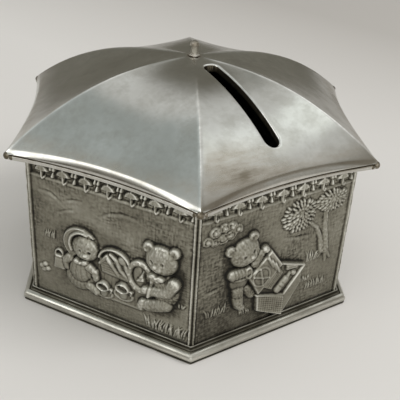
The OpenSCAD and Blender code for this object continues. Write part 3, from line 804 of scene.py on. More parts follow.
def scene_swing(f):
    """A bear on a swing under a tree."""
    ground(f, 43, [[(-24, 14), (-14, 15.6), (-8, 14.8)], [(8, 17), (16, 19.4), (24, 18.2)]])
    # tree with a level branch
    f.limb([(-17, 7.4), (-16.4, 16), (-16.8, 24), (-15.4, 31.5)], [2.5, 1.9, 1.8, 1.7], 1.5)
    for tip in ((-20.6, 5.6), (-13.2, 5.4), (-17.4, 4.8)):
        f.limb([(-17, 8.8), tip], [1.5, 0.5], 1)
    branch = [(-15.8, 29), (-8, 34.6), (2, 36.1), (12.8, 35.2), (17.6, 36.6)]
    f.limb(branch, [1.5, 1.2, 1.05, 0.8, 0.4], 1.3)
    f.limb([(12, 35.3), (15.6, 33.2)], [0.6, 0.3], 0.8)
    for n in range(6):
        f.line([(-18.4 + 0.62 * n, 8.6), (-17.6 + 0.6 * n, 18), (-17.9 + 0.6 * n, 27)], 0.15, -0.18)
    f.ring(-16.6, 20.4, 0.6, 1, 0.24, 0.35, 1.5)
    leafy_crown(f, -17.4, 35.6, 6.4, 4.3, 26, 45)
    leafy_crown(f, -8.2, 37.6, 4.6, 2.6, 18, 46)
    leafy_crown(f, 18.3, 36.9, 4.8, 3, 18, 47)
    # swing: two ropes with a twist, a board and a bear
    for u in (-0.6, 10):
        f.limb([(u, 12.6), (u * 0.96 + 0.2, 35.6)], [0.34], 0.7, 0.15)
        for n in range(22):
            f.line([(u - 0.3, 13.2 + n), (u + 0.3, 13.7 + n)], 0.11, -0.16)
        f.ring(u * 0.96 + 0.2, 35.6, 1, 0.8, 0.3, 0.5, 0.8)
    bear(
        f, 4.7, 17.6, 4.4, (-0.3, 0.1),
        [[(3, 1.8), (4.8, 3.6), (5.2, 5.6)], [(-3, 1.8), (-4.8, 3.6), (-5.2, 5.4)]],
        [[(-1.8, -3.4), (-3.9, -4.8), (-5.4, -7.2)], [(1.8, -3.4), (3.4, -5.2), (3.2, -8)]],
    )
    bow(f, 4.4, 22.2, 1.15, 1.9, 0)
    f.slab([(-2, 11.6), (11.4, 11.6), (11.6, 13), (-1.8, 13)], 1, 0.4, 0.3)
    # butterfly and fence
    for side in (-1, 1):
        f.ball(17.4 + 1.1 * side, 27.4, 1.3, 0.85, 0.6, 0.05, turn=side * 38)
        f.ball(17.4 + 0.8 * side, 26.2, 0.85, 0.6, 0.5, 0.05, turn=-side * 38)
    f.limb([(17.4, 25.6), (17.4, 27.8)], [0.24, 0.3], 0.7, 0.2)
    for n in range(3):
        u = 16.2 + 3 * n
        picket = [(u - 0.8, 6.4), (u + 0.8, 6.4), (u + 0.8, 12.8), (u, 14), (u - 0.8, 12.8)]
        f.slab(picket, 0.75, 0.35, 0.25)
    for v in (8.2, 11.4):
        f.slab([(14.2, v), (24.2, v), (24.2, v + 0.8), (14.2, v + 0.8)], 0.5, 0.25, 0.05)
    for grass in (
        (-21.4, 4.8, 4.4, 3, 7, 51), (-9, 5.2, 5.4, 3.4, 9, 52), (6.4, 4.8, 5, 2.4, 8, 53),
        (19.4, 4.4, 7.4, 2.4, 10, 54),
    ):
        tuft(f, *grass)


def scene_garden(f):
    """A bear that waters a row of flowers in the rain."""
    ground(f, 53, [[(-24, 24.6), (-15, 26.8), (-6, 25.8)], [(6, 26.2), (14, 28), (24, 26.4)]])
    puff_cloud(f, 13.6, 35.6, 3.1)
    for n, (du, dv) in enumerate(((-3.8, 0), (-1.9, -1.7), (0.2, -0.2), (2.2, -1.9), (4.1, 0.2))):
        drop(f, 13.4 + du, 30.4 + dv, 0.5)
    # picket fence behind
    for n in range(9):
        u = -22.6 + 5.65 * n
        picket = [(u - 1.3, 10.6), (u + 1.3, 10.6), (u + 1.3, 20.6), (u, 22.6), (u - 1.3, 20.6)]
        f.slab(picket, 0.42, 0.35)
    for v in (12.8, 18):
        f.slab([(-24.2, v), (24.2, v), (24.2, v + 1.2), (-24.2, v + 1.2)], 0.3, 0.25)
    # bear with a watering can
    bear(
        f, -9.6, 15.8, 4.5, (0.45, -0.25),
        [[(-3, 1.8), (-4.6, -0.4), (-3.4, -2.6)], [(2.8, 1.6), (5, 0.6), (6.6, 0.8)]],
        [[(-1.8, -3.2), (-2.4, -6.2), (-3, -8.6)], [(1.8, -3.2), (2.4, -6.2), (3.4, -8.6)]],
    )
    bow(f, -9.3, 20.4, 1.2, 1.95, 0)
    f.limb(arc(0.2, 17.4, 2.2, 2.4, 25, 200, 14), [0.36], 0.9, 0.9)
    f.slab([(-2.4, 12.6), (2.2, 12.6), (1.9, 17.2), (-2, 17.2)], 1.6, 1.1, 0.5, crown=0.3)
    f.ball(-0.05, 17.2, 2, 0.75, 0.5, 1.7)
    f.swell(-0.05, 17.2, 1.6, 0.5, -0.7, power=0.4)
    f.line([(-2.3, 13.4), (2.2, 13.4)], 0.22, 0.25)
    f.limb([(2, 13.8), (4.6, 16), (6, 18)], [0.62, 0.5, 0.42], 1.1, 0.6)
    f.ball(6.5, 18.5, 1.15, 0.62, 1.2, 0.6, turn=-38)
    for n in range(5):
        drop(f, 8 + 0.9 * n, 16.8 - 0.75 * n + 0.25 * (n % 2), 0.27)
    for u, tall, r in ((6.2, 5.6, 1.7), (10.6, 7.4, 2), (15.4, 5.8, 1.8), (20.2, 7.8, 2.1)):
        flower(f, u, 5.6, tall, r)
    flower(f, -20.4, 6, 8.2, 2)
    for grass in (
        (-20.6, 4.8, 6, 2.6, 8, 61), (-3, 4.8, 3.6, 2.2, 6, 62), (13.2, 4.4, 16, 2, 18, 63),
    ):
        tuft(f, *grass)


# ---------------------------------------------------------------- materials


class Nodes:
    """A node tree. Each call of add() makes one node and returns the socket that leaves it."""

    def __init__(self, tree):
        self.tree = tree

    def feed(self, socket, value):
        if isinstance(value, bpy.types.NodeSocket):
            self.tree.links.new(value, socket)
        else:
            socket.default_value = value

    def add(self, kind, inputs=(), output=0, **settings):
        node = self.tree.nodes.new("ShaderNode" + kind)
        for key, value in settings.items():
            setattr(node, key, value)
        for socket, value in dict(inputs).items():
            self.feed(node.inputs[socket], value)
        return node.outputs[output]

    def mixed(self, factor, a, b):
        node = self.tree.nodes.new("ShaderNodeMix")
        node.data_type = "RGBA"
        for socket, value in ((0, factor), (6, a), (7, b)):
            self.feed(node.inputs[socket], (*value, 1) if isinstance(value, tuple) else value)
        return node.outputs[2]


class Shader(Nodes):
    """The nodes of a new material."""

    def __init__(self, name):
        self.material = bpy.data.materials.new(name)
        self.material.use_nodes = True
        super().__init__(self.material.node_tree)
        self.surface = self.tree.nodes["Principled BSDF"]
        self.place = self.add("TexCoord", output="Object")

    def set(self, **inputs):
        for name, value in inputs.items():
            self.feed(self.surface.inputs[name.replace("_", " ")], value)

    def stretched(self, scale, turn=0.0):
        return self.add("Mapping", {"Vector": self.place, "Scale": scale, "Rotation": (0, 0, turn)})

    def noise(self, per_metre, detail=2, rough=0.5, place=None):
        sockets = {"Vector": place or self.place, "Scale": per_metre, "Detail": detail, "Roughness": rough}
        return self.add("TexNoise", sockets)

    def ramp(self, factor, stops):
        """Maps factor onto colours or greys, given as (position, colour or grey) pairs."""
        node = self.tree.nodes.new("ShaderNodeValToRGB")
        self.feed(node.inputs[0], factor)
        points = node.color_ramp.elements
        while len(points) < len(stops):
            points.new(1)
        for point, (position, colour) in zip(points, stops):
            point.position = position
            point.color = (*colour, 1) if isinstance(colour, tuple) else (colour, colour, colour, 1)
        return node.outputs[0]

    def maths(self, operation, a, b=0.0, clamp=False):
        return self.add("Math", {0: a, 1: b}, operation=operation, use_clamp=clamp)

    def bump(self, height, depth_mm, strength=1.0, under=None):
        sockets = {"Height": height, "Distance": depth_mm * MM, "Strength": strength}
        if under is not None:
            sockets["Normal"] = under
        return self.add("Bump", sockets)

    def attribute(self, name):
        return self.add("Attribute", output="Fac", attribute_name=name)

    def varied(self, value, texture, amount):
        """The value, moved up and down by a noise texture."""
        return self.maths("ADD", value, self.maths("MULTIPLY", self.maths("SUBTRACT", texture, 0.5), amount))


def roof_pewter():
    """Handled, half-polished pewter: cloudy, with soft tarnishing and fine scratches, and painted highlights
    and shade carried in the same attribute.
    """
    s = Shader("roof_pewter")
    clouds = s.noise(38, 4, 0.6)
    smudges = s.noise(150, 5, 0.65)
    marks = s.noise(1.0, 3, 0.6, s.stretched((240, 900, 500), 0.5))
    streaks = s.noise(1.0, 5, 0.65, s.stretched((110, 420, 420), 0.12))
    uneven = s.ramp(streaks, [(0.36, 0.15), (0.64, 1.0)])
    tarnish_and_painted_light = s.maths("MULTIPLY", s.attribute("tarnish_and_painted_light"), s.maths("ADD", uneven, 0.35))
    cloud_mask = s.ramp(clouds, [(0.40, 0.0), (0.60, 1.0)])
    smudge_mask = s.ramp(smudges, [(0.42, 0.0), (0.62, 1.0)])
    base = s.mixed(cloud_mask, (0.565, 0.565, 0.535), (0.69, 0.695, 0.67))
    base = s.mixed(s.maths("MULTIPLY", smudge_mask, 0.6), base, (0.44, 0.435, 0.395))
    brown = s.ramp(tarnish_and_painted_light, [(0.3, (0.40, 0.335, 0.25)), (0.8, (0.13, 0.112, 0.08))])
    base = s.mixed(s.maths("MULTIPLY", tarnish_and_painted_light, 1.4, clamp=True), base, brown)
    # Painted highlight: where the attribute is below 0, on the ridges and the slot's rim, the colour goes
    # near-white.
    base = s.mixed(s.maths("MULTIPLY", tarnish_and_painted_light, -0.9, clamp=True), base, (0.97, 0.97, 0.94))
    rough = s.ramp(s.mixed(0.45, clouds, smudges), [(0.35, 0.12), (0.65, 0.25)])
    rough = s.mixed(s.maths("MULTIPLY", tarnish_and_painted_light, 0.8, clamp=True), rough, (0.5, 0.5, 0.5))
    fine = s.bump(marks, 0.02, 0.25)
    pits = s.bump(s.noise(1700, 3, 0.7), 0.012, 0.3, fine)
    waves = s.bump(s.noise(110, 2, 0.5), 0.12, 0.3, pits)
    s.set(Base_Color=base, Metallic=1.0, Roughness=rough, Normal=waves)
    return s.material


def relief_pewter():
    """Antiqued pewter: dark in the hollows, polished bright on what stands out, with the walls' painted shade
    mixed in.
    """
    s = Shader("relief_pewter")
    patina_and_shade = s.attribute("patina_and_shade")
    grain = s.noise(1400, 4, 0.7)
    blotch = s.noise(120, 4, 0.6)
    tone = s.varied(s.varied(patina_and_shade, grain, 0.42), blotch, 0.5)
    base = s.ramp(tone, [
        (0.0, (0.012, 0.011, 0.008)), (0.22, (0.065, 0.058, 0.043)), (0.43, (0.235, 0.222, 0.176)),
        (0.58, (0.32, 0.308, 0.255)), (0.78, (0.40, 0.39, 0.335)), (1.0, (0.66, 0.65, 0.585)),
    ])
    rough = s.ramp(tone, [(0.1, 0.62), (0.55, 0.5), (1.0, 0.32)])
    metal = s.ramp(tone, [(0.0, 0.55), (0.5, 0.9)])
    pits = s.bump(grain, 0.03, 0.5)
    s.set(Base_Color=base, Metallic=metal, Roughness=rough, Normal=pits)
    return s.material


def base_pewter():
    """The moulding's pewter: bright where it is handled and dark in its cove and grooves."""
    s = Shader("base_pewter")
    patina_and_shade = s.attribute("patina_and_shade")
    grain = s.noise(900, 4, 0.7)
    blotch = s.noise(90, 4, 0.6)
    rubs = s.noise(1.0, 4, 0.6, s.stretched((110, 110, 1500)))
    tone = s.varied(s.varied(s.varied(patina_and_shade, grain, 0.16), blotch, 0.36), rubs, 0.7)
    base = s.ramp(tone, [
        (0.0, (0.02, 0.018, 0.013)), (0.3, (0.085, 0.078, 0.058)), (0.65, (0.27, 0.26, 0.22)),
        (1.0, (0.68, 0.67, 0.61)),
    ])
    rough = s.ramp(tone, [(0.1, 0.6), (0.6, 0.38), (1.0, 0.26)])
    lines = s.noise(1.0, 2, 0.5, s.stretched((160, 160, 2600)))
    pits = s.bump(grain, 0.03, 0.45)
    s.set(Base_Color=base, Metallic=1.0, Roughness=rough, Normal=s.bump(lines, 0.02, 0.3, pits))
    return s.material


def plate_pewter():
    """Sheet pewter, rolled one way and scratched by use."""
    s = Shader("plate_pewter")
    rolled = s.noise(1.0, 3, 0.6, s.stretched((60, 1800, 60)))
    blotch = s.noise(55, 4, 0.65)
    base = s.mixed(s.ramp(blotch, [(0.4, 0.0), (0.65, 1.0)]), (0.36, 0.355, 0.32), (0.24, 0.23, 0.195))
    rough = s.ramp(rolled, [(0.3, 0.34), (0.7, 0.52)])
    s.set(Base_Color=base, Metallic=1.0, Roughness=rough, Normal=s.bump(rolled, 0.03, 0.4))
    return s.material


def stopper_plastic():
    """Black moulded plastic with a fine matt grain, greyed where it is handled."""
    s = Shader("stopper_plastic")
    grain = s.noise(2600, 3, 0.6)
    dust = s.noise(160, 5, 0.7)
    base = s.mixed(s.ramp(dust, [(0.45, 0.0), (0.75, 1.0)]), (0.014, 0.014, 0.016), (0.035, 0.035, 0.036))
    rough = s.ramp(grain, [(0.3, 0.42), (0.7, 0.58)])
    s.set(Base_Color=base, Roughness=rough, Normal=s.bump(grain, 0.03, 0.35))
    return s.material


def paper_floor():
    """The pale sheet of paper that the box stands on, with painted shade that darkens it towards its far
    right.
    """
    s = Shader("paper_floor")
    further = s.add("VectorMath", {0: s.place, 1: (5.0, 1.25, 0.0)}, output="Value", operation="DOT_PRODUCT")
    # Painted shade: the paper's colour falls off towards the far right, as if less light reached it there.
    share = s.maths("SUBTRACT", further, 0.45, clamp=True)
    base = s.ramp(share, [(0.0, (0.69, 0.67, 0.648)), (1.0, (0.45, 0.428, 0.404))])
    s.set(Base_Color=base, Roughness=0.75, Normal=s.bump(s.noise(2200, 2, 0.6), 0.02, 0.2))
    return s.material


ROOF, RELIEF, BASE = roof_pewter(), relief_pewter(), base_pewter()
PLATE, PLASTIC = plate_pewter(), stopper_plastic()

# ---------------------------------------------------------------- roof


def roof_z(q, between):
    """Height of the roof at a fraction q of the corner radius; between is 0 on a ridge and 1 midway."""
    sag = PANEL_SAG * 4 * q * (1.25 - q) / 1.25**2
    return PEAK_Z - RIDGE_DROP * q**RIDGE_POWER - sag * between


def outline(t):
    """The hem's reach across a panel, as a fraction of the straight line between its corners."""
    return 1 - HEM_SCALLOP * 4 * t * (1 - t) / (ROOF_R * CORNER_TO_FLAT)


MID_REACH = ROOF_R * CORNER_TO_FLAT * outline(0.5)


def plain_columns():
    """Where a plain panel's columns lie, from one ridge towards the next, crowding towards both."""
    steps = 56
    return (1 - np.cos(np.pi * np.arange(steps) / steps)) / 2


def slot_columns(s):
    """The slotted panel's columns: some run beside the slot's sides, and the rest fan out to the ridges."""
    from_edge = np.array([-1.7, -1.2, -0.7, -0.35, -0.22, -0.12, -0.05, 0, 0.06, 0.14, 0.24, 0.36, 0.5, 0.9])
    beside = SLOT_W / 2 + from_edge
    half_w = s * ROOF_R / 2
    beside = beside * min(1, 0.8 * half_w / beside[-1])
    inner = beside / (s * ROOF_R)
    for _ in range(3):
        inner = beside / (s * ROOF_R * outline(0.5 + inner))
    fan = 38
    outer = inner[-1] + (0.5 - inner[-1]) * np.sin(np.pi / 2 * np.arange(1, fan + 1) / fan)
    half = np.concatenate([inner, outer])
    return np.concatenate([0.5 - half[::-1], [0.5], 0.5 + half[:-1]])


def slot_distance(x, y):
    """Distance outside the coin slot's edge, in plan; negative inside it."""
    near, far = -SLOT_NEAR - SLOT_W / 2, -SLOT_FAR + SLOT_W / 2
    return np.hypot(x, y - np.clip(y, far, near)) - SLOT_W / 2


def roof_ring(s, inset=0.0, surface=True):
    """One ring of the roof's skin: points at a fraction s of its outline, drawn in by inset. Surface says
    whether it has the ribs and a slight unevenness."""
    ring = []
    for side in range(SIDES):
        t = slot_columns(s) if side == SLOT_PANEL else plain_columns()
        a, b = ((math.cos(SIDE_ANGLE * k), math.sin(SIDE_ANGLE * k)) for k in (side, side + 1))
        chord = (1 - t)[:, None] * a + t[:, None] * b
        reach = s * outline(t) * ROOF_R
        x, y = (chord * (reach * (1 - inset / (ROOF_R * CORNER_TO_FLAT)))[:, None]).T
        z = roof_z(reach / ROOF_R, 4 * t * (1 - t))
        if surface:
            to_ridge = np.hypot(x, y) * np.sin(np.minimum(t, 1 - t) * SIDE_ANGLE)
            fade = smooth(s * ROOF_R / 12)
            z = z + fade * RIB_RISE * np.exp(-((to_ridge / RIB_HALF_W) ** 2))
            z = z + fade * (0.06 * noise(x, y, 13, 71) + 0.012 * noise(x, y, 4, 72))
        ring.append(np.column_stack([x, y, z]))
    return np.concatenate(ring)


def roof_rings():
    """The roof's skin from the ferrule's socket to the rounded edge of the hem, eased round the coin slot.
    The rings are closest together at the slot's two ends."""
    edge_w = 1.1
    near = (SLOT_NEAR - 0.6, SLOT_NEAR + 2.4)
    far = (SLOT_FAR - 2.5, SLOT_FAR + 0.7)
    spans = [(2.4, near[0], 7), (*near, 21), (near[1], far[0], 46)]
    spans += [(*far, 21), (far[1], MID_REACH - edge_w, 12)]
    reaches = [r for low, high, count in spans for r in np.linspace(low, high, count, endpoint=False)]
    reaches += [MID_REACH - edge_w * (1 - math.sin(turn)) for turn in np.linspace(0, math.pi / 2, 13)]
    rings = []
    for reach in reaches:
        ring = roof_ring(reach / MID_REACH)
        off = max(0.0, 1 - (MID_REACH - reach) / edge_w)
        fall = np.clip(ring[:, 2] - LIP_BOTTOM - LIP_H, 0.1, 1.7)
        ring[:, 2] -= fall * (1 - math.sqrt(1 - off * off))
        beside = np.clip(1 - slot_distance(ring[:, 0], ring[:, 1]) / 0.5, 0, 0.995)
        ring[:, 2] -= 0.4 * (1 - np.sqrt(1 - beside**2))
        rings.append(ring)
    return rings


def lip_rings(hem):
    """The hem's upright lip, below the skin's last ring: a groove, a face and a rounded lower edge.
    Each ring comes with how tarnished it is."""
    bottom = LIP_BOTTOM - 0.3 * smooth((np.hypot(hem[:, 0], hem[:, 1]) - 50) / 7)
    downs = np.concatenate([np.linspace(0.02, 0.42, 13), np.linspace(0.5, 0.88, 5), [0.94, 0.98, 1.0]])
    rings, stains = [], []
    for down in downs:
        groove = math.exp(-(((down - 0.2) / 0.13) ** 2))
        tuck = 0.5 * groove + 0.3 * max(0.0, (down - 0.88) / 0.12) ** 2
        ring = roof_ring(1.0, inset=tuck, surface=False)
        ring[:, 2] = hem[:, 2] + (bottom - hem[:, 2]) * down
        rings.append(ring)
        stains.append(0.15 + 0.95 * groove)
    return rings, stains


def under_rings():
    """Rings under the roof, from the seat round the walls to the ferrule's socket."""
    hem = roof_ring(1.0)
    angles = np.arctan2(hem[:, 1], hem[:, 0])
    folded = (angles % SIDE_ANGLE) - SIDE_ANGLE / 2
    hexagon = CORNER_TO_FLAT / np.cos(folded)
    rings = []

    def ring(radius, z):
        x, y = radius * np.cos(angles), radius * np.sin(angles)
        rings.append(np.column_stack([x, y, np.broadcast_to(z, angles.shape)]))

    seat_z = wall_high[2]
    seat_r, hollow_r = WALL_CORNER_R + 0.15, 48.8
    ring(seat_r * hexagon, LIP_BOTTOM)
    ring(seat_r * hexagon, seat_z)
    ring(hollow_r * hexagon, seat_z)
    between = 1 - (folded / (SIDE_ANGLE / 2)) ** 2
    for share in np.linspace(1.0, 0.08, 9):
        ring(hollow_r * hexagon * share, roof_z(hollow_r * share / ROOF_R, between) - ROOF_SHELL)
    socket_r = (ferrule_high[0] - ferrule_low[0]) / 2 - 0.4
    ring(socket_r, PEAK_Z - ROOF_SHELL)
    ring(socket_r, PEAK_Z - 0.1)
    return rings


def slot_plug():
    """A solid the shape of the coin slot, to cut the roof with."""
    turns = np.linspace(0, math.pi, 25)
    r = SLOT_W / 2
    far_end = [(-r * math.cos(a), -SLOT_FAR + r - r * math.sin(a)) for a in turns]
    near_end = [(r * math.cos(a), -SLOT_NEAR - r + r * math.sin(a)) for a in turns]
    plan = far_end + near_end
    count = len(plan)
    verts = [(x * MM, y * MM, z * MM) for z in (wall_high[2] + 0.2, PEAK_Z + 2) for x, y in plan]
    faces = [tuple(range(count))[::-1], tuple(range(count, 2 * count))]
    faces += [(n, (n + 1) % count, (n + 1) % count + count, n + count) for n in range(count)]
    mesh = bpy.data.meshes.new("slot_plug")
    mesh.from_pydata(verts, [], faces)
    # Painted shade: the plug gives the slot's cut walls a dark value.
    shade(mesh, "tarnish_and_painted_light", np.full(len(verts), 0.9))
    plug = bpy.data.objects.new("slot_plug", mesh)
    bpy.context.scene.collection.objects.link(plug)
    return plug


def cut_with(piece, tool):
    """Cuts tool's shape out of piece and removes the tool."""
    cut = piece.modifiers.new("cut", "BOOLEAN")
    cut.object, cut.operation, cut.solver = tool, "DIFFERENCE", "MANIFOLD"
    scene_view = bpy.context.evaluated_depsgraph_get()
    mesh = bpy.data.meshes.new_from_object(piece.evaluated_get(scene_view))
    piece.modifiers.clear()
    piece.data = mesh
    bpy.data.objects.remove(tool)


def darken_slot_walls(mesh):
    """The slot's walls are painted dark from their top edge down: painted shade inside the slot."""
    x, y = (np.array([v.co for v in mesh.vertices])[:, :2] / MM).T
    layer = mesh.attributes["tarnish_and_painted_light"]
    tarnish_and_painted_light = np.empty(len(x), np.float32)
    layer.data.foreach_get("value", tarnish_and_painted_light)
    tarnish_and_painted_light[np.abs(slot_distance(x, y)) < 0.02] = 1
    layer.data.foreach_set("value", tarnish_and_painted_light)


def skin_stain_and_highlight(x, y):
    """How stained the roof's skin is: more along the hem and in a patch on the slotted panel, and below 0
    where the ridges and the slot's rim get a painted highlight."""
    turn = np.arctan2(y, x) % SIDE_ANGLE
    to_ridge = np.hypot(x, y) * np.sin(np.minimum(turn, SIDE_ANGLE - turn))
    # Painted highlight along each ridge.
    painted_lightness = np.exp(-((to_ridge / 0.4) ** 2)) * smooth((np.hypot(x, y) - 12) / 20)
    to_hem = np.clip(MID_REACH - flat_distance(x, y), 0, None)
    edge = 0.22 * np.exp(-((to_hem - 1.4) / 1.8) ** 2)
    on_slot_panel = smooth((np.abs(y) - np.abs(x) * math.tan(SIDE_ANGLE)) / 4) * (y < 0)
    patch = on_slot_panel * np.exp(-(((x + 14) / 13) ** 2) - ((y + 42) / 4.5) ** 2)
    # Painted highlight round the slot's rim.
    rim = np.exp(-((slot_distance(x, y) / 0.4) ** 2))
    return edge + 0.4 * patch - 0.9 * painted_lightness - 0.9 * rim


def add_roof():
    skin = roof_rings()
    lip, stains = lip_rings(skin[-1])
    under = under_rings()
    rings = skin + lip + under
    points = np.concatenate(rings)
    faces = quad_sheet(len(rings), len(skin[0]), wrap_rows=True)
    crisp = 38
    roof = make_piece("roof", points, faces, "box", ROOF, crisp)
    tarnish_and_painted_light = np.repeat(np.array([0.0] * len(skin) + stains + [0.9] * len(under)), len(skin[0]))
    on_skin = len(skin) * len(skin[0])
    tarnish_and_painted_light[:on_skin] = skin_stain_and_highlight(points[:on_skin, 0], points[:on_skin, 1])
    shade(roof.data, "tarnish_and_painted_light", tarnish_and_painted_light)
    cut_with(roof, slot_plug())
    darken_slot_walls(roof.data)
    roof.data.set_sharp_from_angle(angle=math.radians(crisp))
    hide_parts("canopy")


def upright_turn(angle):
    """Outward and sideways directions in plan, at that angle round the axis."""
    return Vector((math.cos(angle), math.sin(angle), 0)), Vector((-math.sin(angle), math.cos(angle), 0))


def add_rib_tips():
    """Three knobs under each corner of the roof: the end of its rib, and the ends of the hem's two sides."""
    tip_r, side_r = 1.05, 0.72
    beside = math.radians(90 + 30)
    knobs = [(tip_r, canopy_high[0] - tip_r, 0.0)]
    for side in (-1, 1):
        knobs.append((side_r, ROOF_R - 0.95 + 1.3 * math.cos(beside), 1.3 * side * math.sin(beside)))
    steps, levels = 20, 12
    verts, faces = [], []
    for corner in range(SIDES):
        out, across = upright_turn(SIDE_ANGLE * corner)
        for r, reach, sideways in knobs:
            middle = out * reach + across * sideways + Vector((0, 0, canopy_low[2] + r + 0.04))
            start = len(verts)
            for tilt in np.linspace(0.04, 0.96, levels) * math.pi:
                for a in np.linspace(0, 2 * math.pi, steps, endpoint=False):
                    level = upright_turn(a)[0] * math.sin(tilt) + Vector((0, 0, math.cos(tilt)))
                    verts.append(middle + r * level)
            faces += quad_sheet(levels, steps, offset=start)
            last = start + (levels - 1) * steps
            faces += [tuple(range(start, start + steps)), tuple(range(last, last + steps))]
    tips = make_piece("rib_tips", verts, faces, "box", ROOF, 50)
    shade(tips.data, "tarnish_and_painted_light", np.full(len(verts), 0.95))


def add_ferrule():
    """The ferrule: a collar on the peak, a slim neck and a rounded head, over a pin in the roof's socket."""
    bottom, top = ferrule_low[2], ferrule_high[2]
    pin_r, collar_r, head_r = 1.3095, 1.69, 1.33
    section = [(0, bottom), (pin_r, bottom), (pin_r, PEAK_Z + 0.06), (collar_r, PEAK_Z + 0.1)]
    section += quarter((collar_r, PEAK_Z + 0.16), (1.3, PEAK_Z + 0.55), True, 5)
    section += [(1.2, PEAK_Z + 0.72), (1.27, PEAK_Z + 0.95), (1.24, top - 1.5)]
    section += [(head_r, top - 1.38), (head_r, top - 1.15)]
    section += quarter((head_r - 0.03, top - 1.05), (0.3, top - 0.02), True, 9)
    section += [(0, top)]
    ferrule = turned("ferrule_tip", section, 40, "box", ROOF, 50)
    shade(ferrule.data, "tarnish_and_painted_light", np.full(len(ferrule.data.vertices), 0.45))
    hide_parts("ferrule")


# ---------------------------------------------------------------- walls


def add_wall(name, facing, draw):
    """A wall casting: its front is a fine grid raised by the drawn relief, over a plain back and edges."""
    relief = Relief()
    draw(relief)
    relief.finish()
    turn = math.radians(facing)
    out = np.array([math.cos(turn), math.sin(turn), 0])
    right = np.array([-math.sin(turn), math.cos(turn), 0])
    up = np.array([0, 0, 1])

    def placed(u, depth, v):
        u, depth, v = np.broadcast_arrays(u, depth, v)
        return u.reshape(-1, 1) * right + depth.reshape(-1, 1) * out + v.reshape(-1, 1) * up

    u, v = np.meshgrid(relief.u, relief.v)
    rows, columns = u.shape
    index = np.arange(rows * columns).reshape(rows, columns)
    rim = np.concatenate([index[0, :-1], index[:-1, -1], index[-1, :0:-1], index[:0:-1, 0]])
    rim_u, rim_v = u.ravel()[rim], v.ravel()[rim]
    shoulder = (FACE_HALF_W / math.tan(SIDE_ANGLE / 2), FACE_HALF_W)
    back = (WALL_BACK, WALL_BACK_HALF_W)
    layers = [placed(u.ravel(), FIELD + relief.h.ravel(), v.ravel())]
    for depth, half_w in (shoulder, back):
        layers.append(placed(rim_u * half_w / FACE_HALF_W, depth, rim_v))
    faces = quad_sheet(rows, columns, wrap_columns=False)
    count, start = len(rim), rows * columns
    for n in range(count):
        m = (n + 1) % count
        faces.append((rim[n], rim[m], start + m, start + n))
        faces.append((start + n, start + m, start + count + m, start + count + n))
    faces.append(tuple(range(start + count, start + 2 * count)))
    wall = make_piece("panel_" + name, np.concatenate(layers), faces, "box", RELIEF, 60)
    # Lightness for the material: 0.35 on the back and edges, and on the face the antiqued tone with painted
    # shade.
    painted_lightness = np.full(start + 2 * count, 0.35)
    painted_lightness[:start] = relief.patina_and_shade().ravel()
    shade(wall.data, "patina_and_shade", painted_lightness)
    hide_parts("wall_" + name)


# ---------------------------------------------------------------- base


def add_moulding():
    """The foot: a thin foot, a dark groove, a round bead, a crisp edge and a cove up to the walls."""
    bead_top = (FOOT_R - 1.75, 3.0)
    belly = (FOOT_R, 1.45)
    cove_top = (WALL_CORNER_R + 0.35, MOULDING_TOP - 0.25)
    wall_r, inner, ledge = WALL_CORNER_R + 0.02, 49.15, 47.5
    section = [(ledge, 0), (FOOT_R - 0.5, 0)] + quarter((FOOT_R - 0.5, 0.0), (FOOT_R - 0.2, 0.2), False, 4)
    section += [(FOOT_R - 0.2, 0.34), (FOOT_R - 0.55, 0.42), (FOOT_R - 0.6, 0.5), (FOOT_R - 0.52, 0.58)]
    section += quarter(belly, (FOOT_R - 0.5, 0.62), True, 8)[::-1]
    section += quarter(belly, bead_top, True, 14)[1:]
    section += [(bead_top[0] - 0.16, 2.86)]
    section += quarter((bead_top[0] - 0.26, bead_top[1] - 0.16), cove_top, False, 10)
    section += [(cove_top[0], MOULDING_TOP - 0.06), (cove_top[0] - 0.06, MOULDING_TOP)]
    section += [(wall_r, MOULDING_TOP), (wall_r, wall_low[2]), (inner, wall_low[2])]
    section += [(inner, plate_low[2]), (ledge, plate_low[2])]
    rings = [at_height(hexagon_ring(r, 0.9), z) for r, z in section]
    faces = quad_sheet(len(rings), len(rings[0]), wrap_rows=True)
    moulding = make_piece("foot_moulding", np.concatenate(rings), faces, "box", BASE, 50)
    x, y, z = (np.array([v.co for v in moulding.data.vertices]) / MM).T
    corner_r = flat_distance(x, y) / CORNER_TO_FLAT
    bead = smooth((corner_r - bead_top[0] + 0.25) / 0.35) * smooth((z - 0.5) / 1.1)
    foot = smooth((corner_r - FOOT_R + 0.55) / 0.3) * smooth((0.42 - z) / 0.1)
    top = smooth((z - MOULDING_TOP + 0.22) / 0.15)
    crease = smooth((bead_top[0] - corner_r) / 0.1) * smooth((corner_r - bead_top[0] + 0.5) / 0.3)
    under_wall = smooth((WALL_CORNER_R + 0.75 - corner_r) / 0.4) * smooth((MOULDING_TOP - 0.2 - z) / 0.1)
    lightness = 0.42 + 0.45 * bead + 0.3 * foot + 0.35 * top - 0.3 * crease - 0.3 * under_wall
    groove = smooth((z - 0.3) / 0.1) * smooth((0.8 - z) / 0.2)
    shade(moulding.data, "patina_and_shade", lightness - 0.6 * groove)
    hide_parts("base_frame")


def add_plate():
    """The closing plate: a hexagon with a round hole and eased edges."""
    low, high, ease = plate_low[2], plate_high[2], 0.25
    edge = hexagon_ring(plate_high[0], 0.3)
    eased_edge = edge * (1 - ease / plate_high[0])
    angles = np.arctan2(edge[:, 1], edge[:, 0])
    circle = np.column_stack([np.cos(angles), np.sin(angles)])
    hole, eased_hole = circle * COIN_HOLE_R, circle * (COIN_HOLE_R + ease)
    rings = [at_height(plan, z) for plan, z in (
        (edge, low + ease), (edge, high - ease), (eased_edge, high), (eased_hole, high),
        (hole, high - ease), (hole, low + ease), (eased_hole, low), (eased_edge, low),
    )]
    faces = quad_sheet(len(rings), len(edge), wrap_rows=True)
    plate = make_piece("closing_plate", np.concatenate(rings), faces, "box", PLATE, 30)
    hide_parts("base_plate")


